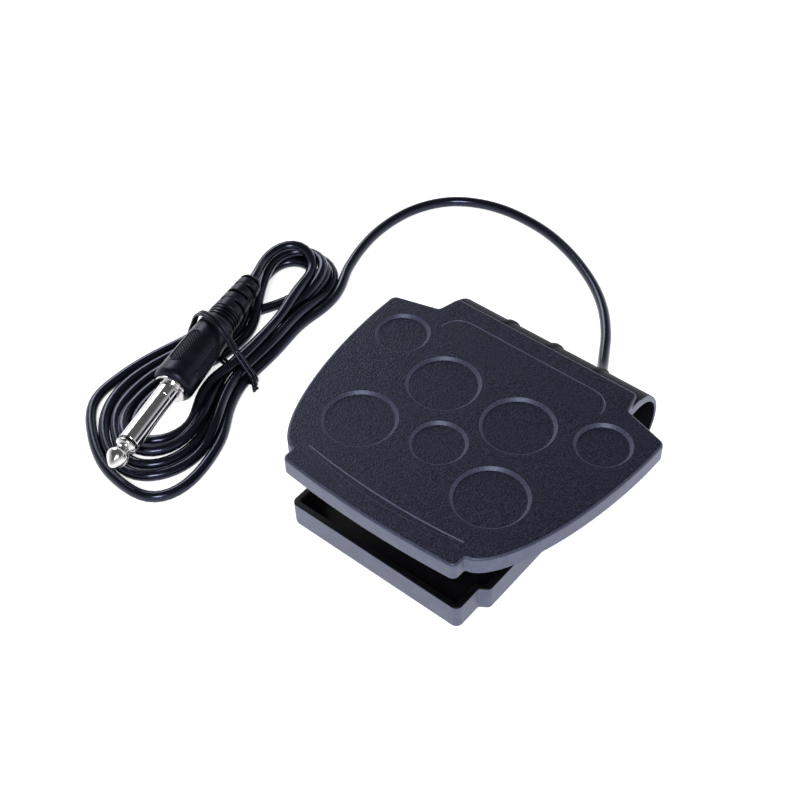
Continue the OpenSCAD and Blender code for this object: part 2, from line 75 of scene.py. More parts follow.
def linear(hex_colour: str) -> tuple[float, float, float, float]:
    """Turns an sRGB hex colour to linear.

    Args:
        hex_colour: six hex digits after a #.

    Returns:
        Linear red, green, blue and an alpha of 1.
    """
    parts = [int(hex_colour[i : i + 2], 16) / 255 for i in (1, 3, 5)]
    red, green, blue = (c / 12.92 if c <= 0.04045 else ((c + 0.055) / 1.055) ** 2.4 for c in parts)
    return red, green, blue, 1.0


def add_node(
    tree: bpy.types.NodeTree,
    kind: str,
    settings: dict[str | int, object] | None = None,
    links: dict[str | int, bpy.types.NodeSocket] | None = None,
) -> bpy.types.Node:
    """Adds a node to a tree.

    Args:
        tree: the node tree.
        kind: the node's type name.
        settings: values by input name or number, or by the node's own property.
        links: output sockets by the name or number of the input they go into.

    Returns:
        The new node.
    """
    node = tree.nodes.new(kind)
    for key, value in (settings or {}).items():
        if isinstance(key, int) or key in node.inputs:
            node.inputs[key].default_value = value
        else:
            setattr(node, key, value)
    for key, socket in (links or {}).items():
        tree.links.new(socket, node.inputs[key])
    return node



def fresh_tree(owner: bpy.types.Material | bpy.types.World) -> bpy.types.NodeTree:
    """Turns on the nodes of a material or world, and empties them.

    Args:
        owner: the material or world.

    Returns:
        Its empty node tree.
    """
    owner.use_nodes = True
    owner.node_tree.nodes.clear()
    return owner.node_tree


class Grain(Enum):
    """How the small relief of a surface is made."""

    SPARK = "spark-eroded mould skin"
    ORANGE_PEEL = "slow ripple of a moulded or extruded skin"
    TURNED = "fine rings left by a lathe"
    FIBRE = "pressed paper fibre"
    ROLLED = "long marks of rolled sheet"


@dataclass(frozen=True)
class Relief:
    """One layer of small relief: its kind, the size of a grain and its depth in millimetres."""

    kind: Grain
    size: float
    depth: float


@dataclass(frozen=True)
class Finish:
    """A real material and how its surface was made.

    Attributes:
        name: name of the material.
        colour: main colour, sRGB hex.
        other: the colour that it drifts to in patches or specks, sRGB hex.
        patch: size of those patches in millimetres.
        roughness: roughness of the surface.
        spread: how far the roughness varies to each side.
        ior: index of refraction, which a metal keeps at the default.
        specular: level of the mirror part of a dielectric.
        metallic: 1 for a metal.
        tint: colour of a dielectric's mirror part, sRGB hex.
        relief: layers of small relief.
    """

    name: str
    colour: str
    other: str
    patch: float
    roughness: float
    spread: float = 0.04
    ior: float = 1.5
    specular: float = 0.5
    metallic: float = 0.0
    tint: str = "#ffffff"
    relief: tuple[Relief, ...] = ()

    def material(self) -> bpy.types.Material:
        """Makes the material once, and returns it again after that.

        Returns:
            The material.
        """
        known = bpy.data.materials.get(self.name)
        if known:
            return known
        material = bpy.data.materials.new(self.name)
        tree = fresh_tree(material)
        place = add_node(tree, "ShaderNodeTexCoord").outputs["Object"]
        spots = {"Scale": 1 / (self.patch * MM), "Detail": 3.0, "Roughness": 0.6}
        patches = add_node(tree, "ShaderNodeTexNoise", spots, {"Vector": place}).outputs[0]
        colour = add_node(tree, "ShaderNodeValToRGB", {}, {0: patches})
        stops = zip(colour.color_ramp.elements, ((0.42, self.colour), (0.62, self.other)))
        for stop, (position, shade) in stops:
            stop.position, stop.color = position, linear(shade)
        sheen = {3: self.roughness - self.spread, 4: self.roughness + self.spread}
        rough = add_node(tree, "ShaderNodeMapRange", sheen, {0: patches})
        mirror = {
            "IOR": self.ior,
            "Specular IOR Level": self.specular,
            "Specular Tint": linear(self.tint),
        }
        shader = add_node(
            tree,
            "ShaderNodeBsdfPrincipled",
            {"Metallic": self.metallic, **({} if self.metallic else mirror)},
            {"Base Color": colour.outputs[0], "Roughness": rough.outputs[0]},
        )
        normal = None
        for layer in self.relief:
            depth = {"Strength": 1.0, "Distance": layer.depth * MM}
            links = {"Height": self._height(tree, place, layer)}
            if normal:
                links["Normal"] = normal
            normal = add_node(tree, "ShaderNodeBump", depth, links).outputs[0]
        if normal:
            tree.links.new(normal, shader.inputs["Normal"])
        add_node(tree, "ShaderNodeOutputMaterial", {}, {0: shader.outputs[0]})
        return material

    def _height(
        self, tree: bpy.types.NodeTree, place: bpy.types.NodeSocket, layer: Relief
    ) -> bpy.types.NodeSocket:
        """Adds the nodes of one relief layer.

        Args:
            tree: the material's node tree.
            place: the object coordinates.
            layer: the relief.

        Returns:
            The socket that holds the height.
        """
        scale = 1 / (layer.size * MM)
        if layer.kind is Grain.SPARK:
            cells = {"Scale": scale, "feature": "SMOOTH_F1", "Smoothness": 0.6, "Randomness": 1.0}
            made = add_node(tree, "ShaderNodeTexVoronoi", cells, {"Vector": place})
            return made.outputs["Distance"]
        if layer.kind is Grain.TURNED:
            # Rings stand across the plug's axis, and a wave repeats after 2 pi / 20 of its input
            turn = {"Rotation": (0, 0, -math.radians(PlugLine.turn))}
            along = add_node(tree, "ShaderNodeMapping", turn, {"Vector": place}).outputs[0]
            rings = {"Scale": scale * math.tau / 20, "bands_direction": "Y"}
            return add_node(tree, "ShaderNodeTexWave", rings, {"Vector": along}).outputs["Fac"]
        drawn_out = {Grain.FIBRE: (0.25, 1, 1), Grain.ROLLED: (1, 0.08, 1)}
        stretch = {"Scale": drawn_out.get(layer.kind, (1, 1, 1))}
        moved = add_node(tree, "ShaderNodeMapping", stretch, {"Vector": place}).outputs[0]
        ripple = {"Scale": scale, "Detail": 2.0}
        return add_node(tree, "ShaderNodeTexNoise", ripple, {"Vector": moved}).outputs[0]


class Finishes:
    """Every finish of the pedal, each named for its material and how its surface was made."""

    # ABS from a spark-eroded mould: near-black with a cool cast, a dull skin of 0.42 mm grains
    # that scatters light in specks. The lighter specks in its colour are painted glints of those
    # grains. The real grain is near 0.1 mm, drawn coarser so that it shows.
    GRAINED_ABS = Finish(
        "abs_moulded_spark_grain", "#05060a", "#2a2c40", 0.4, 0.42, 0.12, 1.54, 0.3,
        tint="#c8d0ff",
        relief=(Relief(Grain.SPARK, 0.42, 0.1), Relief(Grain.ORANGE_PEEL, 9, 0.04)),
    )  # fmt: skip
    # The same ABS on the band that flexes: finer grain, so that hardly any sheen is left
    BAND_ABS = Finish(
        "abs_moulded_fine_grain", "#0b0c13", "#1f212f", 0.4, 0.55, 0.08, 1.54, 0.1,
        tint="#c8d0ff",
        relief=(Relief(Grain.SPARK, 0.42, 0.05),),
    )  # fmt: skip
    # The same ABS on the sloped steps and edges, where the mould's grain is rubbed down: glossier,
    # and painted lighter as a painted highlight on these walls
    PAINTED_HIGHLIGHT_ABS = Finish(
        "abs_moulded_painted_highlight", "#262939", "#3c4056", 0.4, 0.46, 0.06, 1.54, 0.8,
        tint="#d5dcff",
        relief=(Relief(Grain.SPARK, 0.5, 0.04),),
    )  # fmt: skip
    # The same ABS from the plain, stoned faces of the mould: smoother, and painted lighter as
    # painted light, for the light that these faces catch from the lamps and the white floor
    PAINTED_LIGHT_ABS = Finish(
        "abs_moulded_painted_light", "#51566b", "#5b6176", 4, 0.4, 0.05, 1.54, 0.6,
        tint="#d5dcff",
        relief=(Relief(Grain.ORANGE_PEEL, 1.6, 0.015),),
    )  # fmt: skip
    # The inside of the mouldings: the same plastic, painted darker as painted shade where these
    # faces lie in shadow, under the deck, in the web's hollow and on the tray's upward faces
    PAINTED_SHADE_ABS = Finish(
        "abs_moulded_painted_shade", "#050508", "#08080d", 3, 0.5, 0.05, 1.54, 0.2,
        relief=(Relief(Grain.ORANGE_PEEL, 1.2, 0.02),),
    )  # fmt: skip
    # Plasticised PVC, extruded and polished by the die: black with a wet, slightly wavy gloss
    EXTRUDED_PVC = Finish(
        "pvc_extruded_jacket", "#090a11", "#0e1018", 6, 0.19, 0.04, 1.53, 0.55,
        tint="#c8d0ff",
        relief=(Relief(Grain.ORANGE_PEEL, 2.2, 0.02),),
    )  # fmt: skip
    # PVC moulded over the plug: satin black, its skin slightly uneven
    MOULDED_PVC = Finish(
        "pvc_moulded_grip", "#08090f", "#0e0f17", 3, 0.34, 0.06, 1.53, 0.28,
        tint="#c8d0ff",
        relief=(Relief(Grain.ORANGE_PEEL, 0.8, 0.012),),
    )  # fmt: skip
    # Brass turned on a lathe, then bright nickel plated: a warm grey mirror with faint rings
    NICKEL_PLATE = Finish(
        "nickel_plated_turned_brass", "#dcdadb", "#d0cecf", 2, 0.12, 0.03, metallic=1,
        relief=(Relief(Grain.TURNED, 0.18, 0.0015),),
    )  # fmt: skip
    # Acetal washer between the contacts: glossy black
    BLACK_ACETAL = Finish(
        "acetal_turned_black", "#0b0b0d", "#101013", 1, 0.25, 0.03, 1.48,
        relief=(Relief(Grain.TURNED, 0.2, 0.002),),
    )  # fmt: skip
    # Compression-moulded rubber: matt, a little dusty grey-black
    RUBBER = Finish(
        "rubber_moulded_matt", "#17171a", "#222226", 1.5, 0.72, 0.08, 1.52, 0.35,
        relief=(Relief(Grain.SPARK, 0.4, 0.02),),
    )  # fmt: skip
    # Phenolic paper board, punched: warm brown with pressed fibre
    PHENOLIC = Finish(
        "phenolic_paper_board", "#7a5228", "#94683a", 1.2, 0.45, 0.08, 1.6,
        relief=(Relief(Grain.FIBRE, 0.5, 0.012),),
    )  # fmt: skip
    # Zinc-plated steel wire, cold headed to screws: pale blue-grey, soft gloss
    ZINC_STEEL = Finish(
        "steel_zinc_plated_headed", "#b9bcc4", "#a9acb4", 0.7, 0.28, 0.06, metallic=1,
        relief=(Relief(Grain.ORANGE_PEEL, 0.4, 0.004),),
    )  # fmt: skip
    # Spring brass strip as rolled: yellow with long fine marks
    ROLLED_BRASS = Finish(
        "brass_rolled_strip", "#cda052", "#bd8f45", 2.5, 0.27, 0.07, metallic=1,
        relief=(Relief(Grain.ROLLED, 0.35, 0.003),),
    )  # fmt: skip
    # Silver contact rivet, turned: pale and soft with a light tarnish
    SILVER = Finish(
        "silver_contact_rivet", "#d9d8d3", "#b9b5aa", 0.8, 0.3, 0.06, metallic=1,
        relief=(Relief(Grain.ORANGE_PEEL, 0.3, 0.003),),
    )  # fmt: skip
    # Solder cooled in air: bright with a frosted skin
    SOLDER = Finish(
        "solder_reflowed_tin", "#b4b7bc", "#9a9da3", 0.6, 0.32, 0.08, metallic=1,
        relief=(Relief(Grain.ORANGE_PEEL, 0.5, 0.01),),
    )  # fmt: skip
    # Natural nylon, moulded: milky white with a dull sheen
    NYLON = Finish(
        "nylon_moulded_natural", "#dcdacf", "#cfccbf", 2, 0.4, 0.05, 1.53,
        relief=(Relief(Grain.ORANGE_PEEL, 0.9, 0.006),),
    )  # fmt: skip
    # Black hard plastic of the switch's stand and clamp, moulded
    BLACK_NYLON = Finish(
        "nylon_moulded_black", "#1b1a1a", "#232222", 2, 0.45, 0.05, 1.53,
        relief=(Relief(Grain.ORANGE_PEEL, 0.7, 0.01),),
    )  # fmt: skip
    # PVC-insulated hook-up wire, red and black
    RED_PVC = Finish(
        "pvc_extruded_wire_red", "#b3221c", "#9c1c18", 1.5, 0.35, 0.05, 1.53,
        relief=(Relief(Grain.ORANGE_PEEL, 0.6, 0.006),),
    )  # fmt: skip
    BLACK_PVC = Finish(
        "pvc_extruded_wire_black", "#15151a", "#1b1b20", 1.5, 0.35, 0.05, 1.53,
        relief=(Relief(Grain.ORANGE_PEEL, 0.6, 0.006),),
    )  # fmt: skip
    # Steel wire under extruded PVC, twisted shut: black and glossy
    TIE_PVC = Finish(
        "pvc_covered_tie_wire", "#0b0c12", "#10121a", 2, 0.3, 0.05, 1.53, 0.35,
        tint="#c8d0ff",
        relief=(Relief(Grain.ORANGE_PEEL, 0.7, 0.01),),
    )  # fmt: skip


# ------------------------------------------------------------ plan outlines


def spokes(n: int) -> list[Point2]:
    """The cosine and sine of n even steps round a full turn."""
    return [(math.cos(math.tau * i / n), math.sin(math.tau * i / n)) for i in range(n)]


def share(value: float, start: float, end: float) -> float:
    """How far a value has come from start to end, held between 0 and 1."""
    return min(max((value - start) / (end - start), 0.0), 1.0)


def circle(x: float, y: float, r: float, n: int = 64) -> list[Point2]:
    """A circle's points, anticlockwise.

    Args:
        x: its centre across.
        y: its centre along.
        r: its radius.
        n: the number of points.

    Returns:
        The points.
    """
    return [(x + r * c, y + r * s) for c, s in spokes(n)]


def disc(x: float, y: float, r: float, n: int = 32) -> list[Corner]:
    """A circle as corners, for prism()."""
    return [(*p, 0.0) for p in circle(x, y, r, n)]


def bar(x0: float, x1: float, y0: float, y1: float, r: float) -> list[Corner]:
    """A rectangle's corners, each with the same radius."""
    return [(x0, y0, r), (x1, y0, r), (x1, y1, r), (x0, y1, r)]


def mirrored(corners: Sequence[Corner]) -> list[Corner]:
    """The same corners on the other side of the middle, in the opposite order."""
    return [(-x, y, r) for x, y, r in reversed(corners)]


def rounded(corners: Sequence[Corner], inset: float = 0.0, steps: int = 6) -> list[Point2]:
    """Rounds the corners of an anticlockwise outline and moves it inwards.

    Args:
        corners: (x, y, radius) of each corner, where a radius of 0 leaves a plain point.
        inset: how far the outline moves inwards.
        steps: pieces in each rounded corner.

    Returns:
        The outline's points, always as many for the same corners.
    """
    points: list[Point2] = []
    count = len(corners)
    for i, (x, y, radius) in enumerate(corners):
        ax, ay, _ = corners[i - 1]
        bx, by, _ = corners[(i + 1) % count]
        before = Vector((x - ax, y - ay)).normalized()
        after = Vector((bx - x, by - y)).normalized()
        n1, n2 = Vector((-before.y, before.x)), Vector((-after.y, after.x))
        p = Vector((x, y)) + (n1 + n2) * (inset / max(1 + n1.dot(n2), 0.3))
        if not radius:
            points.append((p.x, p.y))
            continue
        side = 1.0 if before.cross(after) > 0 else -1.0
        r = max(radius - inset * side, 0.08)
        angle = math.acos(max(-1.0, min(1.0, before.dot(after))))
        start = p - before * (r * math.tan(angle / 2))
        centre = start + n1 * (r * side)
        for k in range(steps + 1):
            spoke = (start - centre).copy()
            spoke.rotate(Matrix.Rotation(side * angle * k / steps, 2))
            points.append((centre.x + spoke.x, centre.y + spoke.y))
    return points


def inside(point: Point2, outline: Sequence[Point2]) -> bool:
    """Whether a point is inside an outline.

    Args:
        point: the point.
        outline: the outline's points.

    Returns:
        True if it is inside.
    """
    x, y = point
    hit = False
    for (ax, ay), (bx, by) in zip(outline, list(outline[1:]) + [outline[0]]):
        if (ay > y) != (by > y) and x < (bx - ax) * (y - ay) / (by - ay) + ax:
            hit = not hit
    return hit


# ------------------------------------------------------------- mesh builder


def stay(x: float, y: float, z: float) -> Point3:
    """Leaves a point where it is."""
    return x, y, z


@dataclass
class Shell:
    """Collects points in millimetres and faces, and makes one mesh object of them.

    Attributes:
        place: moves each point from the piece's own coordinates to the model's frame.
    """

    place: Place = stay
    points: list[Point3] = field(default_factory=list)
    faces: list[tuple[int, ...]] = field(default_factory=list)

    def add(self, points: Iterable[Point3]) -> list[int]:
        """Adds points.

        Args:
            points: the points, in the piece's own coordinates.

        Returns:
            Their numbers.
        """
        start = len(self.points)
        self.points += [self.place(*p) for p in points]
        return list(range(start, len(self.points)))

    def face(self, numbers: Iterable[int]) -> None:
        """Adds one face."""
        self.faces.append(tuple(numbers))

    def band(self, a: Sequence[int], b: Sequence[int], closed: bool = True) -> None:
        """Joins two rows of points with four-sided faces.

        Args:
            a: one row's point numbers.
            b: the other row's, as many.
            closed: whether the rows close on themselves.
        """
        last = len(a) if closed else len(a) - 1
        for i in range(last):
            j = (i + 1) % len(a)
            self.face((a[i], a[j], b[j], b[i]))

    def rings(self, rings: Sequence[Sequence[Point3]]) -> list[list[int]]:
        """Adds closed rings of points and joins each to the next.

        Args:
            rings: the rings, all with as many points.

        Returns:
            The point numbers of each ring.
        """
        rows = [self.add(ring) for ring in rings]
        for a, b in zip(rows, rows[1:]):
            self.band(a, b)
        return rows

    def cap(
        self,
        outline: Sequence[Point2],
        height: Callable[[float, float], float],
        holes: Sequence[Sequence[Point2]] = (),
    ) -> None:
        """Fills an outline, less its holes, with triangles.

        Args:
            outline: the outer points in plan.
            height: gives the height at a point in plan.
            holes: outlines to leave open.
        """
        loops = [list(outline), *[list(hole) for hole in holes]]
        plan = [Vector(p) for loop in loops for p in loop]
        edges, start = [], 0
        for loop in loops:
            edges += [(start + i, start + (i + 1) % len(loop)) for i in range(len(loop))]
            start += len(loop)
        verts, _, faces, *_ = delaunay_2d_cdt(plan, edges, [], 0, 1e-5)
        numbers = self.add((v.x, v.y, height(v.x, v.y)) for v in verts)
        for f in faces:
            middle = sum((verts[i] for i in f), Vector((0, 0))) / len(f)
            centre = (middle.x, middle.y)
            if inside(centre, loops[0]) and not any(inside(centre, hole) for hole in loops[1:]):
                self.face(numbers[i] for i in f)

    def prism(
        self,
        corners: Sequence[Corner],
        low: float,
        high: float,
        top_r: float = 0.3,
        low_r: float = 0.2,
        holes: Sequence[Point3] = (),
    ) -> None:
        """Adds an upright block with softened edges.

        Args:
            corners: its outline, as for rounded().
            low: height of its underside.
            high: height of its top.
            top_r: radius of the top edge.
            low_r: radius of the bottom edge.
            holes: (x, y, radius) of round holes right through.
        """
        steps = 3
        turns = [k / steps * math.pi / 2 for k in range(steps + 1)]
        profile = [(low_r * (1 - math.sin(a)), low + low_r * (1 - math.cos(a))) for a in turns]
        profile += [(top_r * (1 - math.cos(a)), high - top_r * (1 - math.sin(a))) for a in turns]
        self.rings([[(x, y, z) for x, y in rounded(corners, d)] for d, z in profile])
        bores = [circle(x, y, r, 32) for x, y, r in holes]
        for bore in bores:
            self.rings([[(x, y, z) for x, y in bore] for z in (low, high)])
        self.cap(rounded(corners, low_r), lambda x, y: low, bores)
        self.cap(rounded(corners, top_r), lambda x, y: high, bores)

    def lathe(self, profile: Sequence[Point2], n: int = 72) -> None:
        """Turns a profile about the piece's own Y axis.

        Args:
            profile: (radius, distance along the axis) from one end to the other.
            n: the number of steps round the axis.
        """
        self.rings([[(r * c, along, r * s) for c, s in spokes(n)] for r, along in profile])

    def tube(self, path: Sequence[Point3], r: float, n: int = 12) -> None:
        """Sweeps a round section along a path, with closed ends.

        Args:
            path: the points that it follows.
            r: its radius.
            n: the number of steps round it.
        """
        line = [Vector(p) for p in path]
        side = Vector((0, 0, 1))
        rows = []
        for i, p in enumerate(line):
            ahead = (line[min(i + 1, len(line) - 1)] - line[max(i - 1, 0)]).normalized()
            side = (side - ahead * side.dot(ahead)).normalized()
            over = ahead.cross(side)
            rows.append([tuple(p + (side * c + over * s) * r) for c, s in spokes(n)])
        numbers = self.rings(rows)
        self.face(reversed(numbers[0]))
        self.face(numbers[-1])

    def make(
        self,
        name: str,
        node: str,
        coats: Sequence[Finish],
        sharp: float = 35.0,
        choose: Callable[[Vector, Vector], Finish] | None = None,
        body: str | None = "base",
    ) -> bpy.types.Object:
        """Makes the object, smooth but for its sharp edges, in the place of a CAD node.

        Args:
            name: the piece's name.
            node: the CAD node that it stands for.
            coats: its finishes.
            sharp: the angle in degrees above which an edge stays sharp.
            choose: gives a face's finish from its centre in millimetres and its normal.
            body: the body that it rides on, or None to leave it without one.

        Returns:
            The new object.
        """
        mesh = bpy.data.meshes.new(name)
        mesh.from_pydata([tuple(c * MM for c in p) for p in self.points], [], self.faces)
        for coat in coats:
            mesh.materials.append(coat.material())
        weld(mesh)
        if choose:
            numbers = {coat.name: i for i, coat in enumerate(coats)}
            for face in mesh.polygons:
                face.material_index = numbers[choose(face.center / MM, face.normal).name]
        mesh.shade_smooth()
        mesh.set_sharp_from_angle(angle=math.radians(sharp))
        piece = place_object(name, mesh)
        weighted = piece.modifiers.new("Weighted normals", "WEIGHTED_NORMAL")
        weighted.keep_sharp = True
        weighted.weight = 80
        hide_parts(node)
        if body:
            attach(piece, body)
        log.info("%s: %d points, %d faces", name, len(mesh.vertices), len(mesh.polygons))
        return piece


def place_object(name: str, data: bpy.types.ID) -> bpy.types.Object:
    """Makes an object of a mesh, curve, lamp or camera and puts it in the scene.

    Args:
        name: the object's name.
        data: its mesh, curve, lamp or camera.

    Returns:
        The object.
    """
    made = bpy.data.objects.new(name, data)
    bpy.context.scene.collection.objects.link(made)
    return made


def weld(mesh: bpy.types.Mesh) -> None:
    """Joins points that lie together and turns every face outwards.

    Args:
        mesh: the mesh, which is changed.
    """
    work = bmesh.new()
    work.from_mesh(mesh)
    bmesh.ops.remove_doubles(work, verts=work.verts, dist=2e-6)
    bmesh.ops.dissolve_degenerate(work, edges=work.edges, dist=1e-6)
    bmesh.ops.recalc_face_normals(work, faces=work.faces)
    work.to_mesh(mesh)
    work.free()


def curve_points(path: Sequence[Point3], per: int) -> list[Point3]:
    """Points on a smooth line through the given ones.

    Args:
        path: the points that it passes through.
        per: how many pieces each stretch becomes.

    Returns:
        The points.
    """
    p = np.array(path, float)
    made = []
    for i in range(len(p) - 1):
        a, b, c, d = p[max(i - 1, 0)], p[i], p[i + 1], p[min(i + 2, len(p) - 1)]
        for k in range(per):
            t = k / per
            made.append(
                0.5 * (2 * b + (c - a) * t + (2 * a - 5 * b + 4 * c - d) * t**2
                       + (3 * b - a - 3 * c + d) * t**3)
            )  # fmt: skip
    made.append(p[-1])
    return [tuple(map(float, q)) for q in made]


# --------------------------------------------------------------------- cord


def gaps(line: np.ndarray) -> np.ndarray:
    """The distance from each point of a line to the next."""
    return np.linalg.norm(np.diff(line, axis=0), axis=1)


@dataclass(frozen=True)
class PlugLine:
    """Where the plug lies: the point of its tip, its turn in plan and its axis' height."""

    tip_x: float = -74.5
    tip_y: float = -63.0
    turn: float = 15.0
    axis_z: float = 10.0

    def at(self, along: float, across: float = 0.0, up: float = 0.0) -> Point3:
        """A point given by its distance behind the tip, to the right and up.

        Args:
            along: distance behind the tip.
            across: distance to the right.
            up: distance above the axis.

        Returns:
            The point in the frame.
        """
        a = math.radians(self.turn)
        return (
            self.tip_x - along * math.sin(a) + across * math.cos(a),
            self.tip_y + along * math.cos(a) + across * math.sin(a),
            self.axis_z + up,
        )

    def place(self, x: float, y: float, z: float) -> Point3:
        """Moves a point of a plug piece, drawn along +Y from the tip, into the frame."""
        return self.at(y, x, z)


@dataclass
class Cord:
    """The cord: out of the strain relief, round behind the pedal and into a tied hank.

    Attributes:
        diameter: of the jacket.
        plug: the line that the plug lies on.
        leaves: where it leaves the strain relief.
        free: the stretch that the CAD model draws as a tube.
        plug_radii: (from, to, radius) of the plug along its axis.
        edge: the hank's furthest reach to the left and to the front.
        spacing: the distance between its points.
        play: how far apart two strands want to be, beyond a diameter.
        rise: from one layer of the waist to the next.
        wide_rise: from one layer of the wide loops to the next.
        rounds: how many steps the strands take to settle.
        waist: each strand's inward step and layer in the bundle at the narrow waist.
        wide: the flat loops at the wide end, outermost first, anticlockwise seen from above.
        left: the left strands from the wide end to the waist, outermost first.
    """

    diameter: float = 3.2
    plug: PlugLine = field(default_factory=PlugLine)
    leaves: Point3 = (8, 46.8, 5.2)
    free: tuple[Point3, ...] = (
        (8, 42.3, 5.2), (8, 46.6, 5.2), (8, 48, 5.2), (7.4, 52, 3.7), (5.6, 56, 2.3),
        (2.5, 61.5, 1.7), (-2, 69, 1.6), (-8.5, 77, 1.6), (-16, 83.5, 1.6), (-25, 89, 1.6),
        (-34, 93, 1.6), (-43, 95.6, 1.6), (-52, 96.6, 1.6), (-61, 96.2, 1.6), (-69, 94, 1.6),
        (-76, 90, 1.6), (-81, 84.5, 1.6), (-84.5, 77.5, 1.6), (-86.2, 69.5, 1.6),
        (-86.4, 61, 1.6), (-85, 52, 1.6), (-82.8, 44.5, 1.6), (-81, 38.6, 1.6),
    )  # fmt: skip
    plug_radii: tuple[Point3, ...] = (
        (1.5, 31, 3.2), (31, 59, 6.4), (59, 72, 5.0), (72, 80, 4.2),
    )  # fmt: skip
    edge: Point2 = (-106.2, -62.9)
    spacing: float = 2.2
    play: float = 0.12
    rise: float = 2.85
    wide_rise: float = 2.9
    rounds: int = 260
    waist: tuple[Point2, ...] = ((0, 0), (1.7, 1), (3.4, 0), (5.1, 1), (3.4, 2))
    wide: tuple[tuple[Point2, ...], ...] = (
        ((-71.2, -21.5), (-64.2, -33), (-60.8, -43), (-60.2, -51), (-63.2, -58.4), (-70.4, -61.3),
         (-78, -60.4), (-85.5, -57.2)),
        ((-72, -24), (-67, -33), (-65.2, -42), (-67.2, -50), (-72.4, -55.6), (-79, -57.2),
         (-86, -54.6)),
        ((-73.5, -24), (-69.4, -32), (-68.6, -39), (-69.8, -46.5), (-74.4, -52), (-80, -53.8),
         (-86.5, -51.2)),
        ((-76.5, -23), (-73.2, -29), (-71.2, -35.5), (-72, -43), (-76.4, -49), (-81.6, -50.4),
         (-87, -47.4)),
        ((-79.4, -20.5), (-76.4, -27), (-74.8, -34), (-76.4, -41), (-80.8, -45.8), (-86.2, -45.4),
         (-90.4, -41)),
    )  # fmt: skip
    left: tuple[tuple[Point2, ...], ...] = (
        ((-94, -53), (-101, -47.6), (-104.6, -40), (-104.4, -31.5), (-101.9, -21), (-99, -8)),
        ((-93.4, -49.2), (-98.4, -42), (-100.8, -33), (-99.8, -21), (-96.6, -8)),
        ((-92.6, -45), (-96, -36.5), (-97, -28), (-95.8, -18), (-93.4, -8)),
        ((-91.8, -40), (-93.6, -32), (-93.6, -22), (-92, -14), (-90.2, -7)),
        ((-91.4, -34), (-91.2, -27), (-90.2, -19.5), (-88.4, -12), (-86.9, -6)),
    )  # fmt: skip

    def right(self, strand: int) -> list[Point3]:
        """The waist's right-hand side of one strand, from the narrow end to the wide one.

        Args:
            strand: the number of the strand.

        Returns:
            Its points.
        """
        step, layer = self.waist[strand]
        z = self.diameter / 2 + self.rise * layer
        edge = ((-81.3, 30), (-77.6, 17), (-75.9, 5), (-74.9, -5), (-74, -13))
        return [(x - step, y - 0.2 * step, z) for x, y in edge]

    def bottom(self, strand: int, layer: float = 0) -> list[Point3]:
        """A flat loop at the wide end and the left strand after it.

        Args:
            strand: the number of the strand.
            layer: the layer that the loop lies in.

        Returns:
            Its points.
        """
        low = self.diameter / 2 + self.wide_rise * layer
        climb = self.rise * self.waist[strand][1] - self.wide_rise * layer
        # The share of the climb that is left at each point of the loop
        parts = (0.75, 0.42, 0.16) + (0,) * len(self.wide[strand])
        turn = [(x, y, low + climb * part) for (x, y), part in zip(self.wide[strand], parts)]
        return turn + [(x, y, self.diameter / 2) for x, y in self.left[strand]]

    def narrow(self, x0: float, x1: float, top: float, z: float) -> list[Point3]:
        """A loop at the narrow end, from its left leg to its right one.

        Args:
            x0: the left leg.
            x1: the right leg.
            top: how far the loop reaches.
            z: its height.

        Returns:
            Its points.
        """
        middle, half = (x0 + x1) / 2, (x1 - x0) / 2
        turns = [math.radians(degrees) for degrees in range(180, -1, -30)]
        return [(middle + half * math.cos(a), top - half + half * math.sin(a), z) for a in turns]

    def route(self) -> list[Point3]:
        """The whole cord's listed points, from the strain relief to the plug.

        Returns:
            The points.
        """
        low = self.diameter / 2
        path = list(self.free)
        path += self.right(0)[1:] + self.bottom(0)
        path += [(-99.6, 6, low)] + self.narrow(-102.6, -79.6, 40.2, low + 0.2)
        path += self.right(1)[1:] + self.bottom(1)
        path += [(-97, 6, low), (-98.5, 16, low + 0.5)]
        path += self.narrow(-100.8, -85.8, 35, low + 3.2)
        path += [(-89.5, 16, low + 0.6), (-92.4, 6, low)]
        path += self.bottom(2)[::-1] + self.right(2)[:0:-1]
        path += self.narrow(-101.2, -81.4, 38.6, low + 3.2)[::-1]
        path += [(-96, 12, low + 0.8), (-91.4, 4, low)]
        path += self.bottom(3, 1)[::-1] + self.right(3)[:0:-1]
        path += self.narrow(-99.8, -83.4, 37, low + 6.2)[::-1]
        path += [(-94, 14, low + 3), (-89, 5, low + 0.4)]
        path += self.bottom(4)[::-1] + self.right(4)[:1:-1]
        path += [(-82, 16, 7.3), (-84.2, 25.5, 7.6), (-87.4, 33.2, 8), (-92.8, 36.4, 8.4)]
        path += [(-98, 33.8, 8.8), (-100, 28, 9.2), (-98.9, 22.6, 9.7)]
        path += [self.plug.at(86, -0.6, 0), self.plug.at(80.2)]
        return path

    def settle(self, path: list[Point3]) -> np.ndarray:
        """Lets the strands lie beside and on each other, a diameter apart.

        Args:
            path: the cord's listed points.

        Returns:
            Evenly spaced points in millimetres.
        """
        line = np.array(curve_points(path, 12))
        run = np.r_[0, np.cumsum(gaps(line))]
        count = int(run[-1] / self.spacing)
        even = np.linspace(0, run[-1], count)
        line = np.stack([np.interp(even, run, line[:, k]) for k in range(3)], axis=1)
        start = line.copy()
        # The free stretch and the end in the plug stay where they are
        held = np.zeros(count, bool)
        free = np.array(curve_points(self.free, 12))
        held[: int(gaps(free).sum() / (run[-1] / count))] = True
        held[-3:] = True
        radius = self.diameter / 2
        lowest = np.array((self.edge[0] + radius, self.edge[1] + radius, radius))
        for _ in range(self.rounds):
            line += self.push_apart(line)
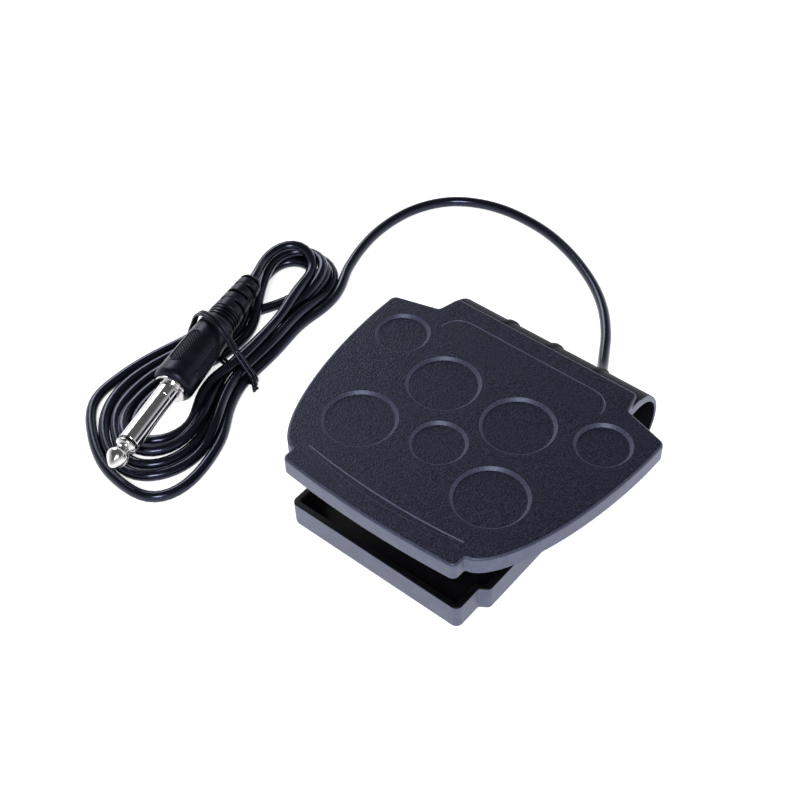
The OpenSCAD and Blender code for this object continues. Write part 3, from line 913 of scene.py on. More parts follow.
            # Steps in and out by turns: this smooths kinks and keeps a loop's radius
            for part in (0.5, -0.52) * 4:
                middle = np.copy(line)
                middle[1:-1] = (line[:-2] + line[2:]) / 2
                line += part * (middle - line)
            line += 0.015 * (start - line)
            self.clear_plug(line)
            line[:, 2] -= 0.02
            line = np.maximum(line, lowest)
            line[held] = start[held]
        return line

    def push_apart(self, line: np.ndarray) -> np.ndarray:
        """How far each point moves in one step, away from strands that are too close.

        Args:
            line: the cord's points.

        Returns:
            A move for each point.
        """
        clear = self.diameter + self.play
        index = np.arange(len(line))
        gap = line[:, None, :] - line[None, :, :]
        far = np.linalg.norm(gap, axis=2)
        # Points that follow each other on the cord don't push
        far[np.abs(index[:, None] - index[None, :]) < 4] = 2 * clear
        push = np.where(far < clear, (clear - far) / np.maximum(far, 0.3), 0)[..., None] * gap
        # Strands that cross slide over each other instead of sideways
        push[..., 2] *= 1.6
        return np.clip(0.2 * push.sum(axis=1), -0.3, 0.3)

    def clear_plug(self, line: np.ndarray) -> None:
        """Moves points that lie inside the plug out to its surface.

        Args:
            line: the cord's points, which are changed.
        """
        tip = np.array(self.plug.at(0))
        axis = np.array(self.plug.at(1)) - tip
        along = (line - tip) @ axis
        away = line - tip - along[:, None] * axis
        reach = np.linalg.norm(away, axis=1)
        for low, high, radius in self.plug_radii:
            need = radius + self.diameter / 2 + 0.1
            hit = (along > low) & (along < high) & (reach < need)
            line[hit] += away[hit] * ((need - reach[hit]) / reach[hit])[:, None]

    def build(self, with_pieces: Sequence[str | bpy.types.Object]) -> bpy.types.Object:
        """Args:
            with_pieces: the pieces that lie on it; not used.

        Returns:
            The curve.
        """
        line = self.settle(self.route())
        data = bpy.data.curves.new("cord_jacket", "CURVE")
        data.dimensions = "3D"
        spline = data.splines.new("POLY")
        spline.points.add(len(line) - 1)
        spline.points.foreach_set("co", [c for p in line for c in (*(p * MM), 1.0)])
        spline.use_smooth = True
        data.bevel_depth = self.diameter / 2 * MM
        data.bevel_resolution = 5
        data.use_fill_caps = True
        data.materials.append(Finishes.EXTRUDED_PVC.material())
        piece = place_object("cord_jacket", data)
        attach(piece, "base")
        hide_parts("cord", "cord_hank", "cord_plug_lead")
        return piece


# ------------------------------------------------------------------- camera


@dataclass(frozen=True)
class Camera:
    """The camera: where it looks, from which side and how far, in millimetres and degrees."""

    target: Point3 = (-17.75, -7.02, 26.57)
    azimuth: float = 41.98
    elevation: float = 47.1
    roll: float = -3.0
    distance: float = 387.8
    lens: float = 65.78
    sensor: float = 36.0

    def build(self) -> bpy.types.Object:
        """Makes the camera and sets it for the scene.

        Returns:
            The camera.
        """
        a, e, r = (math.radians(v) for v in (self.azimuth, self.elevation, self.roll))
        right = Vector((math.cos(a), math.sin(a), 0))
        back = Vector((math.sin(a) * math.cos(e), -math.cos(a) * math.cos(e), math.sin(e)))
        up = back.cross(right)
        rolled = right * math.cos(r) + up * math.sin(r)
        upright = up * math.cos(r) - right * math.sin(r)
        data = bpy.data.cameras.new("camera")
        data.lens, data.sensor_width = self.lens, self.sensor
        data.clip_start, data.clip_end = 0.01, 20
        camera = place_object("camera", data)
        turn = Matrix((rolled, upright, back)).transposed().to_4x4()
        place = (Vector(self.target) + back * self.distance) * MM
        camera.matrix_world = Matrix.Translation(place) @ turn
        bpy.context.scene.camera = camera
        return camera


# ------------------------------------------------------------------ treadle


@dataclass
class Treadle:
    """The treadle: a flared plate with a skirt, a lip, a tongue and pressed grips.

    Its plan is drawn on the flat deck, with height 0 at the top face, and the deck leans forward
    about the rear edge of the tongue.
    """

    lean: float = 1.4
    rear: float = 33.9
    top: float = 26.1
    lip: float = -41.8
    bow: float = 1.4
    lip_half: float = 28.2
    notch: float = -37.8
    widest: float = 18.2
    half: float = 45.5
    flare: float = 1.8
    ear: float = 23.4
    root: float = 27.2
    root_half: float = 31.9
    tongue_half: float = 30.2
    edge: float = 0.9
    skirt: float = 5.4
    wall: float = 1.8
    deck: float = 2.6
    tongue: float = 1.6
    centre: float = -12.8
    large: tuple[Point2, ...] = ((12.4, 17.6), (-12.4, 17.6), (21.5, -6.2), (-21.5, -6.2))
    small: tuple[Point2, ...] = ((33.5, 25.8), (-33.5, 25.8), (0, 0))
    large_r: float = 10.2
    small_r: float = 7.7
    crescent_half: float = 25.2
    rib_half: float = 0.6
    long_ribs: tuple[float, ...] = (-14, 14)
    cross_ribs: tuple[float, ...] = (-22, -6, 14)
    posts: tuple[Post, ...] = ((20, -22, 2.5, 12.9), (-20, -22, 2.5, 12.9), (0, -6, 3.5, 18.15))
    post_top: float = 24.6

    def lay(self, x: float, y: float, z: float) -> Point3:
        """Moves a point from the flat deck to its leaning place.

        Args:
            x: distance across.
            y: distance along the deck.
            z: height above its top face.

        Returns:
            The point in the frame.
        """
        a = math.radians(-self.lean)
        along = y - self.rear
        return (
            x,
            self.rear + along * math.cos(a) - z * math.sin(a),
            self.top + along * math.sin(a) + z * math.cos(a),
        )

    def right_side(self) -> list[Corner]:
        """The corners of the right-hand side, from the lip to the ear.

        Returns:
            The corners.
        """
        side = [(self.lip_half, self.lip, 1.8), (self.lip_half, self.notch, 0.9)]
        steps = 30
        for k in range(2, steps + 1):
            a = math.radians(90 - 90 * k / steps)
            across, along = (v ** (2 / self.flare) for v in (math.cos(a), max(math.sin(a), 0)))
            x = self.lip_half + (self.half - self.lip_half) * across
            side.append((x, self.widest + (self.notch - self.widest) * along, 0.0))
        return side + [(self.half, self.ear, 2.2)]

    def corners(self, with_tongue: bool = True) -> list[Corner]:
        """The whole outline's corners, anticlockwise from the middle of the lip.

        Args:
            with_tongue: whether the tongue is part of it, or a straight rear edge.

        Returns:
            The corners.
        """
        stations = (0, 6, 12, 18, 23)
        bows = [self.bow * (1 - (x / self.lip_half) ** 2) for x in stations]
        right = [(x, self.lip - bow, 0.0) for x, bow in zip(stations, bows)] + self.right_side()
        if with_tongue:
            right += [(self.root_half, self.root, 1.2), (self.tongue_half, self.rear, 1.6)]
        else:
            right += [(self.root_half, self.root, 0.0)]
        return right + mirrored(right[1:])

    def crescent(self) -> list[Corner]:
        """The outline of the shallow crescent behind the lip, widest in the middle.

        Returns:
            The corners.
        """
        count = 24
        front, back = [], []
        for k in range(count + 1):
            t = -1 + 2 * k / count
            middle = self.notch + 3.3 - 2.45 * (1 - t * t)
            width = 0.25 + 0.85 * (1 - t * t)
            front.append((self.crescent_half * t, middle - width, 0.0))
            back.append((self.crescent_half * t, middle + width, 0.0))
        return front + back[::-1]

    def root_line(self) -> list[Corner]:
        """The outline of the fine groove at the root of the tongue, bent forward at its ends.

        Returns:
            The corners.
        """
        x, y, bend_r, half = 20.7, 21.6, 6, 0.3
        turns = [math.radians(degrees) for degrees in range(0, 91, 15)]
        outer = [
            (x + (bend_r + half) * math.cos(a), y + (bend_r + half) * math.sin(a), 0.0)
            for a in turns
        ]
        inner = [
            (x + (bend_r - half) * math.cos(a), y + (bend_r - half) * math.sin(a), 0.0)
            for a in turns
        ]
        return outer + mirrored(outer) + (inner + mirrored(inner))[::-1]

    def sink(
        self, shell: Shell, corners: list[Corner], depth: float, slope: float
    ) -> list[Point2]:
        """Presses a shallow groove into the top face.

        Args:
            shell: where it goes.
            corners: its outline.
            depth: how deep it is.
            slope: how far its sides run inwards.

        Returns:
            Its outline at the top face.
        """
        steps = ((0.0, 0.0), (0.3, -0.12), (0.8, -0.75), (1.0, -1.0))
        shell.rings(
            [[(x, y, depth * z) for x, y in rounded(corners, slope * d)] for d, z in steps]
        )
        shell.cap(rounded(corners, slope), lambda x, y: -depth)
        return rounded(corners)

    def dish(self, shell: Shell, x: float, y: float, r: float) -> list[Point2]:
        """Presses a round grip into the top face.

        Args:
            shell: where it goes.
            x: its centre across.
            y: its centre along.
            r: its radius.

        Returns:
            Its outline at the top face.
        """
        steps = (
            (0.16, 0), (0.05, -0.03), (-0.07, -0.12), (-0.76, -0.8), (-0.84, -0.87), (-1, -0.9),
        )  # fmt: skip
        rings = shell.rings([[(*p, z) for p in circle(x, y, r + d, 96)] for d, z in steps])
        shell.face(rings[-1])
        return circle(x, y, r + steps[0][0], 96)

    def build(self) -> bpy.types.Object:
        """Makes the whole moulding: deck, grips, skirt, ribs and posts.

        Returns:
            The piece.
        """
        shell = Shell(place=self.lay)
        outline = self.corners()
        edge = self.edge
        rings = []
        for degrees in range(90, -1, -18):
            a = math.radians(degrees)
            plan = rounded(outline, edge - edge * math.cos(a))
            rings.append([(x, y, edge * math.sin(a) - edge) for x, y in plan])
        rings.append([(x, y, -self.tongue) for x, y in rounded(outline)])
        rows = shell.rings(rings)
        grips = [(*p, self.large_r) for p in self.large] + [(*p, self.small_r) for p in self.small]
        holes = [self.dish(shell, x, y + self.centre, r) for x, y, r in grips]
        holes.append(self.sink(shell, self.crescent(), 0.3, 0.24))
        holes.append(self.sink(shell, self.root_line(), 0.14, 0.2))
        shell.cap(rounded(outline, edge), lambda x, y: 0.0, holes)

        # Below the deck the tongue stops, and the skirt goes on round the body
        plan = rounded(outline)
        tongue = [i for i, (_, y) in enumerate(plan) if y > self.root + 0.05]
        body = list(range(tongue[-1] + 1, len(plan))) + list(range(tongue[0]))
        shell.face([rows[-1][i] for i in (body[-1], *tongue, body[0])])
        rows = [[rows[-1][i] for i in body]]
        for inset, rise in SOFT_EDGE:
            plan = rounded(outline, inset)
            rows.append(shell.add((*plan[i], rise - self.skirt) for i in body))
        for a, b in zip(rows, rows[1:]):
            shell.band(a, b)
        inner = rounded(self.corners(False), self.wall)
        shell.cap([plan[i] for i in body], lambda x, y: -self.skirt, [inner])
        shell.rings([[(x, y, z) for x, y in inner] for z in (-self.skirt, -self.deck)])
        shell.cap(inner, lambda x, y: -self.deck)
        self.stiffen(shell)
        return shell.make(
            "treadle_moulding",
            "treadle_plate",
            (Finishes.GRAINED_ABS, Finishes.PAINTED_LIGHT_ABS, Finishes.PAINTED_SHADE_ABS, Finishes.PAINTED_HIGHLIGHT_ABS),
            choose=self.coat,
            body="treadle",
        )

    def stiffen(self, shell: Shell) -> None:
        """Adds the ribs under the deck, and the posts, which stand upright.

        Args:
            shell: where they go.
        """
        ribs = [(x - self.rib_half, x + self.rib_half, -30, 18, -6.9) for x in self.long_ribs]
        ribs += [(-28, 28, y - self.rib_half, y + self.rib_half, -5.9) for y in self.cross_ribs]
        for *sides, low in ribs:
            shell.prism(bar(*sides, 0.3), low, ROOTED - self.deck, BURIED, 0.15)
        shell.place = stay
        for x, y, r, low in self.posts:
            shell.prism(disc(x, y, r), low, self.post_top, BURIED, 0.4)
        shell.place = self.lay

    def coat(self, centre: Vector, normal: Vector) -> Finish:
        """Chooses grained plastic, or plastic with painted highlight, painted light or painted
        shade, for a face.

        Args:
            centre: its centre in millimetres.
            normal: its normal.

        Returns:
            The finish.
        """
        level, sloped = 0.93, 0.35
        if normal.z > level:
            return Finishes.GRAINED_ABS
        if normal.z > sloped:
            # The crescent and the root's line have sides with painted light, and the round grips
            # sides with a painted highlight
            in_line = abs(centre.x) < 27.4 and (-39 < centre.y < -32 or 21 < centre.y < 28.4)
            x, y = self.small[0]
            in_grip = math.hypot(abs(centre.x) - x, centre.y - y - self.centre) < 8.2
            return Finishes.PAINTED_LIGHT_ABS if in_line and not in_grip else Finishes.PAINTED_HIGHLIGHT_ABS
        # Faces under the deck that look inwards get painted shade, the rest of the skirt painted
        # light
        middle = Vector((centre.x, centre.y + 8))
        inwards = middle.dot(normal.xy) < 0 or normal.z < -0.8 or middle.length < 26
        below = centre.z < self.top - self.tongue - 0.2
        return Finishes.PAINTED_SHADE_ABS if below and inwards else Finishes.PAINTED_LIGHT_ABS


# ---------------------------------------------------------------------- web


@dataclass
class Web:
    """The flexing web: a C-shaped band behind the pedal that joins the tray to the treadle.

    Attributes:
        hinge: the centre of its outside, along and in height.
        radius: of the outside.
        hollow: the centre of its inside.
        hollow_r: radius of the inside.
        half: half its width.
        front: where the land under the tongue ends.
        leg: where the lower leg meets the tray.
        land: the land's points on the outside, from the rear.
        under: the land's underside.
        ribs: where the ribs stand across the width.
        rib: how far a rib stands out.
        rib_ends: the angles at which a rib has run out.
    """

    hinge: Point2 = (31.2, 12.4)
    radius: float = 12.0
    hollow: Point2 = (32.7, 12.0)
    hollow_r: float = 9.6
    half: float = 31.4
    front: float = 21.2
    leg: float = 31.2
    land: tuple[Point2, ...] = ((33.5, 24.6), (31.2, 24.68))
    land_front: float = 24.9
    under: Point2 = (27.0, 21.6)
    ribs: tuple[float, ...] = (-15.3, 0.0, 15.3)
    rib: float = 0.6
    rib_ends: Point2 = (-50, 76)

    def profile(self, proud: float, inset: float = 0.0) -> list[Point2]:
        """The band's section as (along, height).

        Args:
            proud: how far a rib stands out here.
            inset: how far the section is drawn inwards.

        Returns:
            Its points, anticlockwise.
        """
        hy, hz = self.hinge
        cy, cz = self.hollow
        start, end = self.rib_ends
        points = [(self.leg, hz - self.radius + inset)]
        for k in range(1, 41):
            degrees = -90 + k * 167 / 40
            fade = share(degrees, end, end - 5) * share(degrees, start, start + 7)
            r = self.radius - inset + proud * fade
            a = math.radians(degrees)
            points.append((hy + r * math.cos(a), hz + r * math.sin(a)))
        y, z = self.under
        front = self.front + inset
        points += [(along, top - inset) for along, top in (*self.land, (front, self.land_front))]
        points += [(front, z + inset), (y, z + inset)]
        r = self.hollow_r + inset
        for degrees in range(90, -91, -5):
            a = math.radians(degrees)
            points.append((cy + r * math.cos(a), cz + r * math.sin(a)))
        return points + [(self.leg, cz - r)]

    def build(self) -> bpy.types.Object:
        """Makes the band with its three ribs.

        Returns:
            The piece.
        """
        shell = Shell(place=lambda along, height, across: (across, along, height))
        # Half a rib: distance from its middle, and share of its full height
        side = ((-0.95, 0.0), (-0.8, 0.3), (-0.62, 0.85), (-0.45, 1.0))
        stations = [(rise - self.half, 0, inset) for inset, rise in reversed(SOFT_EDGE)]
        for x in self.ribs:
            stations += [(x + d, self.rib * h, 0) for d, h in side]
            stations += [(x - d, self.rib * h, 0) for d, h in reversed(side)]
        stations += [(self.half - rise, 0, inset) for inset, rise in SOFT_EDGE]
        shell.rings([[(*p, x) for p in self.profile(proud, inset)] for x, proud, inset in stations])
        for x in (-self.half, self.half):
            shell.cap(self.profile(0, SOFT_EDGE[-1][0]), lambda a, b, x=x: x)
        coats = (Finishes.BAND_ABS, Finishes.PAINTED_LIGHT_ABS, Finishes.PAINTED_SHADE_ABS)
        piece = shell.make(
            "flexing_web", "hinge_web", coats, choose=self.coat, body=None
        )
        bend(piece)
        return piece

    def coat(self, centre: Vector, normal: Vector) -> Finish:
        """Fine-grained plastic outside, painted light on the ends, painted shade in the hollow.

        Args:
            centre: the face's centre in millimetres.
            normal: its normal.

        Returns:
            The finish.
        """
        if abs(centre.x) > self.half - 0.2:
            return Finishes.PAINTED_LIGHT_ABS
        inward = (centre.yz - Vector(self.hollow)).dot(normal.yz) < 0
        return Finishes.PAINTED_SHADE_ABS if inward else Finishes.BAND_ABS


def bend(piece: bpy.types.Object) -> None:
    """Makes a finished piece's modifiers part of its mesh, and bakes in its place.

    Args:
        piece: the piece, whose modifier is applied first.
    """
    shape = piece.evaluated_get(bpy.context.evaluated_depsgraph_get())
    mesh = bpy.data.meshes.new_from_object(shape)
    piece.modifiers.clear()
    piece.data = mesh
    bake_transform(piece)


# --------------------------------------------------------------------- tray


@dataclass
class Tray:
    """The base tray: side and front walls, a floor, bosses, bumper cups and rubber feet."""

    front: float = -40.9
    lip_half: float = 28.2
    shoulder: Point2 = (-32.3, -30.7)
    half: float = 30.7
    rear: float = 31.2
    bottom: float = 0.4
    floor: float = 2.4
    rim: float = 8.7
    wall: float = 1.8
    bosses: tuple[Post, ...] = (
        (8.9, -12.4, 2.7, 3.85), (-8.9, -12.4, 2.7, 3.85), (8.9, 12.4, 2.7, 3.85),
        (-8.9, 12.4, 2.7, 3.85), (1.5, 22.7, 2.6, 6.75), (14.5, 22.7, 2.6, 6.75),
    )  # fmt: skip
    bumpers: tuple[Point2, ...] = ((20, -22), (-20, -22))
    cup_r: float = 4.7
    cup_bore: float = 3.55
    cup_top: float = 3.9
    ribs: tuple[float, ...] = (-14, 14.7)
    rib_half: float = 0.5
    rib_top: float = 3.4
    feet: tuple[Point2, ...] = ((21.2, -31.9), (-21.2, -31.9), (21.2, 22.7), (-21.2, 22.7))

    def outer(self) -> list[Corner]:
        """The outside corners, from the left rear round the front to the right rear.

        Returns:
            The corners.
        """
        a, b = self.shoulder
        right = [
            (self.lip_half, self.front, 2.0), (self.lip_half, a, 0.8),
            (self.half, b, 1.6), (self.half, self.rear, 0.0),
        ]  # fmt: skip
        return mirrored(right) + right

    def inner(self) -> list[Corner]:
        """The inside corners, from the right rear round the front to the left rear.

        Returns:
            The corners.
        """
        a, b = self.shoulder
        t = self.wall
        right = [
            (self.half - t, self.rear, 0.0), (self.half - t, b + 0.6, 0.6),
            (self.lip_half - t, a + 1.0, 0.8), (self.lip_half - t, self.front + t, 0.8),
        ]  # fmt: skip
        return right + mirrored(right)

    def build(self) -> bpy.types.Object:
        """Makes the tray with everything moulded on its floor.

        Returns:
            The piece.
        """
        shell = Shell()
        shell.prism(self.outer() + self.inner(), self.bottom, self.rim, 0.35, 0.8)
        # The floor lies inside the walls, but reaches their rear end
        slab = rounded([(x, y, max(r - 1, 0)) for x, y, r in self.outer()], 1.0)
        plan = [(x, self.rear if y > self.rear - 1.2 else y, 0.0) for x, y in slab]
        shell.prism(plan, self.bottom + 0.02, self.floor, 0.02, 0.3)
        root = self.floor - ROOTED
        for x, y, r, top in self.bosses:
            shell.prism(disc(x, y, r), root, top, 0.12, BURIED)
        for x, y in self.bumpers:
            cup = disc(x, y, self.cup_r, 40)
            shell.prism(cup, root, self.cup_top, 0.2, BURIED, holes=[(x, y, self.cup_bore)])
        for y in self.ribs:
            rib = bar(-28.8, 28.8, y - self.rib_half, y + self.rib_half, 0.1)
            shell.prism(rib, root, self.rib_top, 0.15, BURIED)
        coats = (Finishes.PAINTED_LIGHT_ABS, Finishes.PAINTED_SHADE_ABS)
        return shell.make("tray_moulding", "base_tray", coats, choose=self.coat)

    def coat(self, centre: Vector, normal: Vector) -> Finish:
        """Plastic painted light for the outside of the walls, painted shade for the inside and all
        upward faces.

        Args:
            centre: the face's centre in millimetres.
            normal: its normal.

        Returns:
            The finish.
        """
        half = self.lip_half if centre.y < self.shoulder[1] else self.half
        near = min(half - abs(centre.x), centre.y - self.front)
        outline = [(x, y) for x, y, _ in self.outer()]
        outside = near < 1.1 or not inside((centre.x, centre.y), outline)
        return Finishes.PAINTED_LIGHT_ABS if outside and normal.z <= 0.7 else Finishes.PAINTED_SHADE_ABS

    def rubber(
        self,
        name: str,
        node: str,
        spots: Sequence[Point2],
        profile: Sequence[Point2],
        n: int,
        sharp: float,
    ) -> bpy.types.Object:
        """Makes equal rubber shapes, each turned about an upright axis.

        Args:
            name: the piece's name.
            node: the CAD node that it stands for.
            spots: where the shapes stand.
            profile: (radius, height).
            n: the number of steps round the axis.
            sharp: the angle above which an edge stays sharp.

        Returns:
            The piece.
        """
        shell = Shell()
        for x, y in spots:
            shell.place = lambda a, b, c, x=x, y=y: (x + a, y - c, b)
            shell.lathe(profile, n)
        return shell.make(name, node, (Finishes.RUBBER,), sharp)

    def build_rubber(self) -> None:
        """Makes the four feet, dished and soft-edged, and the two domed stop bumpers."""
        foot = [
            (0.0, 0.35), (2.6, 0.32), (3.5, 0.02), (4.2, 0.0), (4.6, 0.08), (4.88, 0.3),
            (5.0, 0.65), (5.0, 1.18), (0.0, 1.2),
        ]  # fmt: skip
        self.rubber("moulded_feet", "rubber_feet", self.feet, foot, 56, 35)
        bumper = [
            (0.0, 2.42), (3.45, 2.42), (3.5, 2.6), (3.5, 5.1), (3.35, 5.55), (2.9, 5.85),
            (2.2, 5.98), (0.0, 6.0),
        ]  # fmt: skip
        self.rubber("domed_bumpers", "stop_bumpers", self.bumpers, bumper, 48, 50)


# ----------------------------------------------------------------- the rest


class Switch:
    """The switch, its board, wires and clamp, which keep the CAD's own shapes."""

    finishes: dict[str, Finish] = {
        "contact_board": Finishes.PHENOLIC,
        "leaf_stand": Finishes.BLACK_NYLON,
        "cable_clamp": Finishes.BLACK_NYLON,
        "board_screws": Finishes.ZINC_STEEL,
        "clamp_screws": Finishes.ZINC_STEEL,
        "contact_leaf": Finishes.ROLLED_BRASS,
        "leaf_tab": Finishes.ROLLED_BRASS,
        "fixed_contact": Finishes.ROLLED_BRASS,
        "leaf_rivets": Finishes.SOLDER,
        "solder_joints": Finishes.SOLDER,
        "contact_rivet": Finishes.SILVER,
        "actuator_tip": Finishes.NYLON,
        "signal_wire": Finishes.RED_PVC,
        "ground_wire": Finishes.BLACK_PVC,
        "cord_inner": Finishes.EXTRUDED_PVC,
    }

    def dress(self) -> None:
        """Gives each of the CAD's shapes its finish."""
        for name, finish in self.finishes.items():
            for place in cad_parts[name].material_slots:
                place.material = finish.material()
            log.info("%s: %s", name, finish.name)


@dataclass
class Gland:
    """The strain relief in the web: a ribbed sleeve round the cord."""

    x: float = 8.0
    z: float = 5.2
    bore: float = 1.62
    start: float = 35.7
    end: float = 46.8
    first_ring: float = 43.0
    pitch: float = 0.75

    def build(self) -> bpy.types.Object:
        """Makes the sleeve with its flange and rings.

        Returns:
            The piece.
        """
        profile = [(self.bore, self.start), (2.9, self.start), (3.0, self.start + 0.15)]
        ring = ((3.0, -0.1), (2.94, 0.0), (2.6, 0.12), (2.6, 0.3), (2.92, 0.42))
        for k in range(3):
            profile += [(r, self.first_ring + self.pitch * k + d) for r, d in ring]
        profile += [(2.55, 45.0), (2.4, 45.4), (2.3, 46.5), (2.1, 46.75), (self.bore, self.end)]
        shell = Shell(place=lambda a, b, c: (self.x + a, b, self.z + c))
        shell.lathe(profile, 56)
        return shell.make(
            "strain_relief_sleeve", "cord_gland", (Finishes.MOULDED_PVC,)
        )


@dataclass
class Plug:
    """The phone plug: turned tip and sleeve, collar, moulded grip, pads and bend relief.

    Attributes:
        line: where it lies.
        barrel: radius of the metal sleeve.
        grip_from: where the grip starts, behind the tip.
        grip_to: where it ends.
        pad_from: from the grip's start to the middle of its pads.
        pad_length: length of a pad.
        pad_width: its width.
        pad_turn: the first pad's place round the axis, in degrees.
        pad_rise: how far a pad stands proud.
        pad_rim: width of its plain rim.
        pad_root: how deep its edge goes into the grip.
    """

    line: PlugLine = field(default_factory=PlugLine)
    barrel: float = 3.175
    grip_from: float = 32.0
    grip_to: float = 59.0
    pad_from: float = 12.0
    pad_length: float = 14.0
    pad_width: float = 4.4
    pad_turn: float = 13.0
    pad_rise: float = 0.34
    pad_rim: float = 0.45
    pad_root: float = 0.12

    def grip_radius(self, s: float) -> float:
        """The grip's radius at a distance behind the tip."""
        t = (s - self.grip_from) / (self.grip_to - self.grip_from)
        return 6.3 - 0.9 * t**1.3

    def build(self) -> list[bpy.types.Object]:
        """Makes every piece of the plug.

        Returns:
            The pieces, from the tip backwards.
        """
        r = self.barrel
        tip = [
            (0.0, 0.0), (0.35, 0.04), (0.75, 0.22), (1.5, 0.95), (2.3, 1.85), (2.85, 2.6),
            (3.12, 3.3), (r, 3.9), (3.1, 4.3), (2.75, 4.9), (2.35, 5.5), (2.1, 6.1), (2.05, 6.6),
            (2.2, 7.0), (2.7, 7.4), (3.1, 7.7), (r, 7.95), (3.12, 8.2), (0.0, 8.2),
        ]  # fmt: skip
        washer = [(0.0, 8.22), (3.0, 8.22), (3.1, 8.3), (3.1, 9.12), (3.0, 9.2), (0.0, 9.2)]
        sleeve = [
            (0.0, 9.22), (3.08, 9.22), (r, 9.34), (r, 26.9), (3.1, 27.0), (3.1, 27.25), (r, 27.35),
            (r, 30.6), (3.3, 30.9), (3.3, 31.0), (0.0, 31.02),
        ]  # fmt: skip
        collar = [
            (0.0, 30.98), (4.55, 30.98), (4.8, 31.1), (4.87, 31.3), (4.87, 31.85), (4.7, 32.05),
            (0.0, 32.1),
        ]  # fmt: skip
        grip = [(0.0, 32.0), (4.7, 32.0), (5.2, 32.12), (5.75, 32.6), (6.1, 33.2), (6.25, 33.9)]
        grip += [(self.grip_radius(s), s) for s in np.linspace(34.6, 58.2, 14)]
        grip += [(5.3, 58.7), (5.05, 59.0), (0.0, 59.0)]
        nickel, pvc = Finishes.NICKEL_PLATE, Finishes.MOULDED_PVC
        turned = (
            ("turned_tip", "plug_tip", "nickel_plate", nickel, tip, 60),
            ("insulating_washer", "plug_insulator", "insulator_black", Finishes.BLACK_ACETAL,
             washer, 30),
            ("turned_sleeve", "plug_sleeve", "nickel_plate", nickel, sleeve, 30),
            ("turned_collar", "plug_collar", "nickel_plate", nickel, collar, 50),
            ("moulded_grip", "plug_grip", "moulded_pvc", pvc, grip, 50),
        )  # fmt: skip
        pieces = []
        for name, node, slot, finish, profile, sharp in turned:
            shell = Shell(place=self.line.place)
            shell.lathe(profile, 96)
            pieces.append(shell.make(name, node, (finish,), sharp))
        return [*pieces, self.pads(), self.relief()]

    def pads(self) -> bpy.types.Object:
        """Makes the four finger pads, crossed by fine diamond ridges.

        Returns:
            The piece.
        """
        shell = Shell(place=self.line.place)
        rows, columns, pitch = 141, 51, 0.95
        length, width = self.pad_length + 0.6, self.pad_width + 0.6
        straight = (self.pad_length - self.pad_width) / 2
        for quarter in range(4):
            middle = math.radians(self.pad_turn + 90 * quarter)
            grid = []
            for i in range(rows):
                s = (i / (rows - 1) - 0.5) * length
                station = self.grip_from + self.pad_from + s
                round_grip = self.grip_radius(station)
                row = []
                for k in range(columns):
                    u = (k / (columns - 1) - 0.5) * width
                    # Distance past the pad's outline, which is below 0 on the pad
                    reach = math.hypot(max(abs(s) - straight, 0), u) - self.pad_width / 2
                    ridge = 2 * min(abs((w / pitch) % 1 - 0.5) for w in (s + u, s - u))
                    lift = self.pad_rise * (ridge if reach < -self.pad_rim else 1)
                    rise = share(reach, 0, -0.22)
                    r = round_grip - self.pad_root + (lift + self.pad_root) * rise
                    a = middle + u / round_grip
                    row.append((r * math.cos(a), station, r * math.sin(a)))
                grid.append(shell.add(row))
            for a, b in zip(grid, grid[1:]):
                shell.band(a, b, closed=False)
        return shell.make("crossed_pads", "grip_pads", (Finishes.MOULDED_PVC,), 60)

    def relief(self) -> bpy.types.Object:
        """Makes the bend relief: fine rings, then segments with slots on alternate sides.

        Returns:
            The piece.
        """
        # Distance behind the tip, radius, depth of the slots, and their turn round the axis
        stations: list[Post] = [(58.9, 0.0, 0, 0), (58.9, 4.9, 0, 0)]
        for k in range(4):
            s = 59.0 + 1.25 * k
            ring = ((0, 4.95), (0.65, 4.95), (0.8, 4.3), (1.1, 4.3))
            stations += [(s + d, r, 0, 0) for d, r in ring]
        for k in range(4):
            s, r = 64.1 + 3.85 * k, 4.75 - 0.32 * k
            turn = math.radians(90 * (k % 2))
            stations += [
                (s, r - 0.15, 0, 0), (s + 0.15, r, 0, 0), (s + 2.3, r - 0.12, 0, 0),
                (s + 2.45, r - 0.2, 0, 0), (s + 2.5, r - 0.2, 1.5, turn),
                (s + 3.5, r - 0.3, 1.5, turn), (s + 3.55, r - 0.3, 0, 0),
            ]  # fmt: skip
        stations += [(79.5, 3.35, 0, 0), (79.9, 3.15, 0, 0), (80.0, 2.9, 0, 0), (80.0, 1.62, 0, 0)]
        rings = []
        for s, r, depth, turn in stations:
            ring = []
            for c, up in spokes(72):
                side = abs(c * math.cos(turn) + up * math.sin(turn))
                here = max(r - depth * share(side, 0.42, 0.52), 0.0)
                ring.append((here * c, s, here * up))
            rings.append(ring)
        shell = Shell(place=self.line.place)
        shell.rings(rings)
        return shell.make("bend_relief", "plug_relief", (Finishes.MOULDED_PVC,), 30)


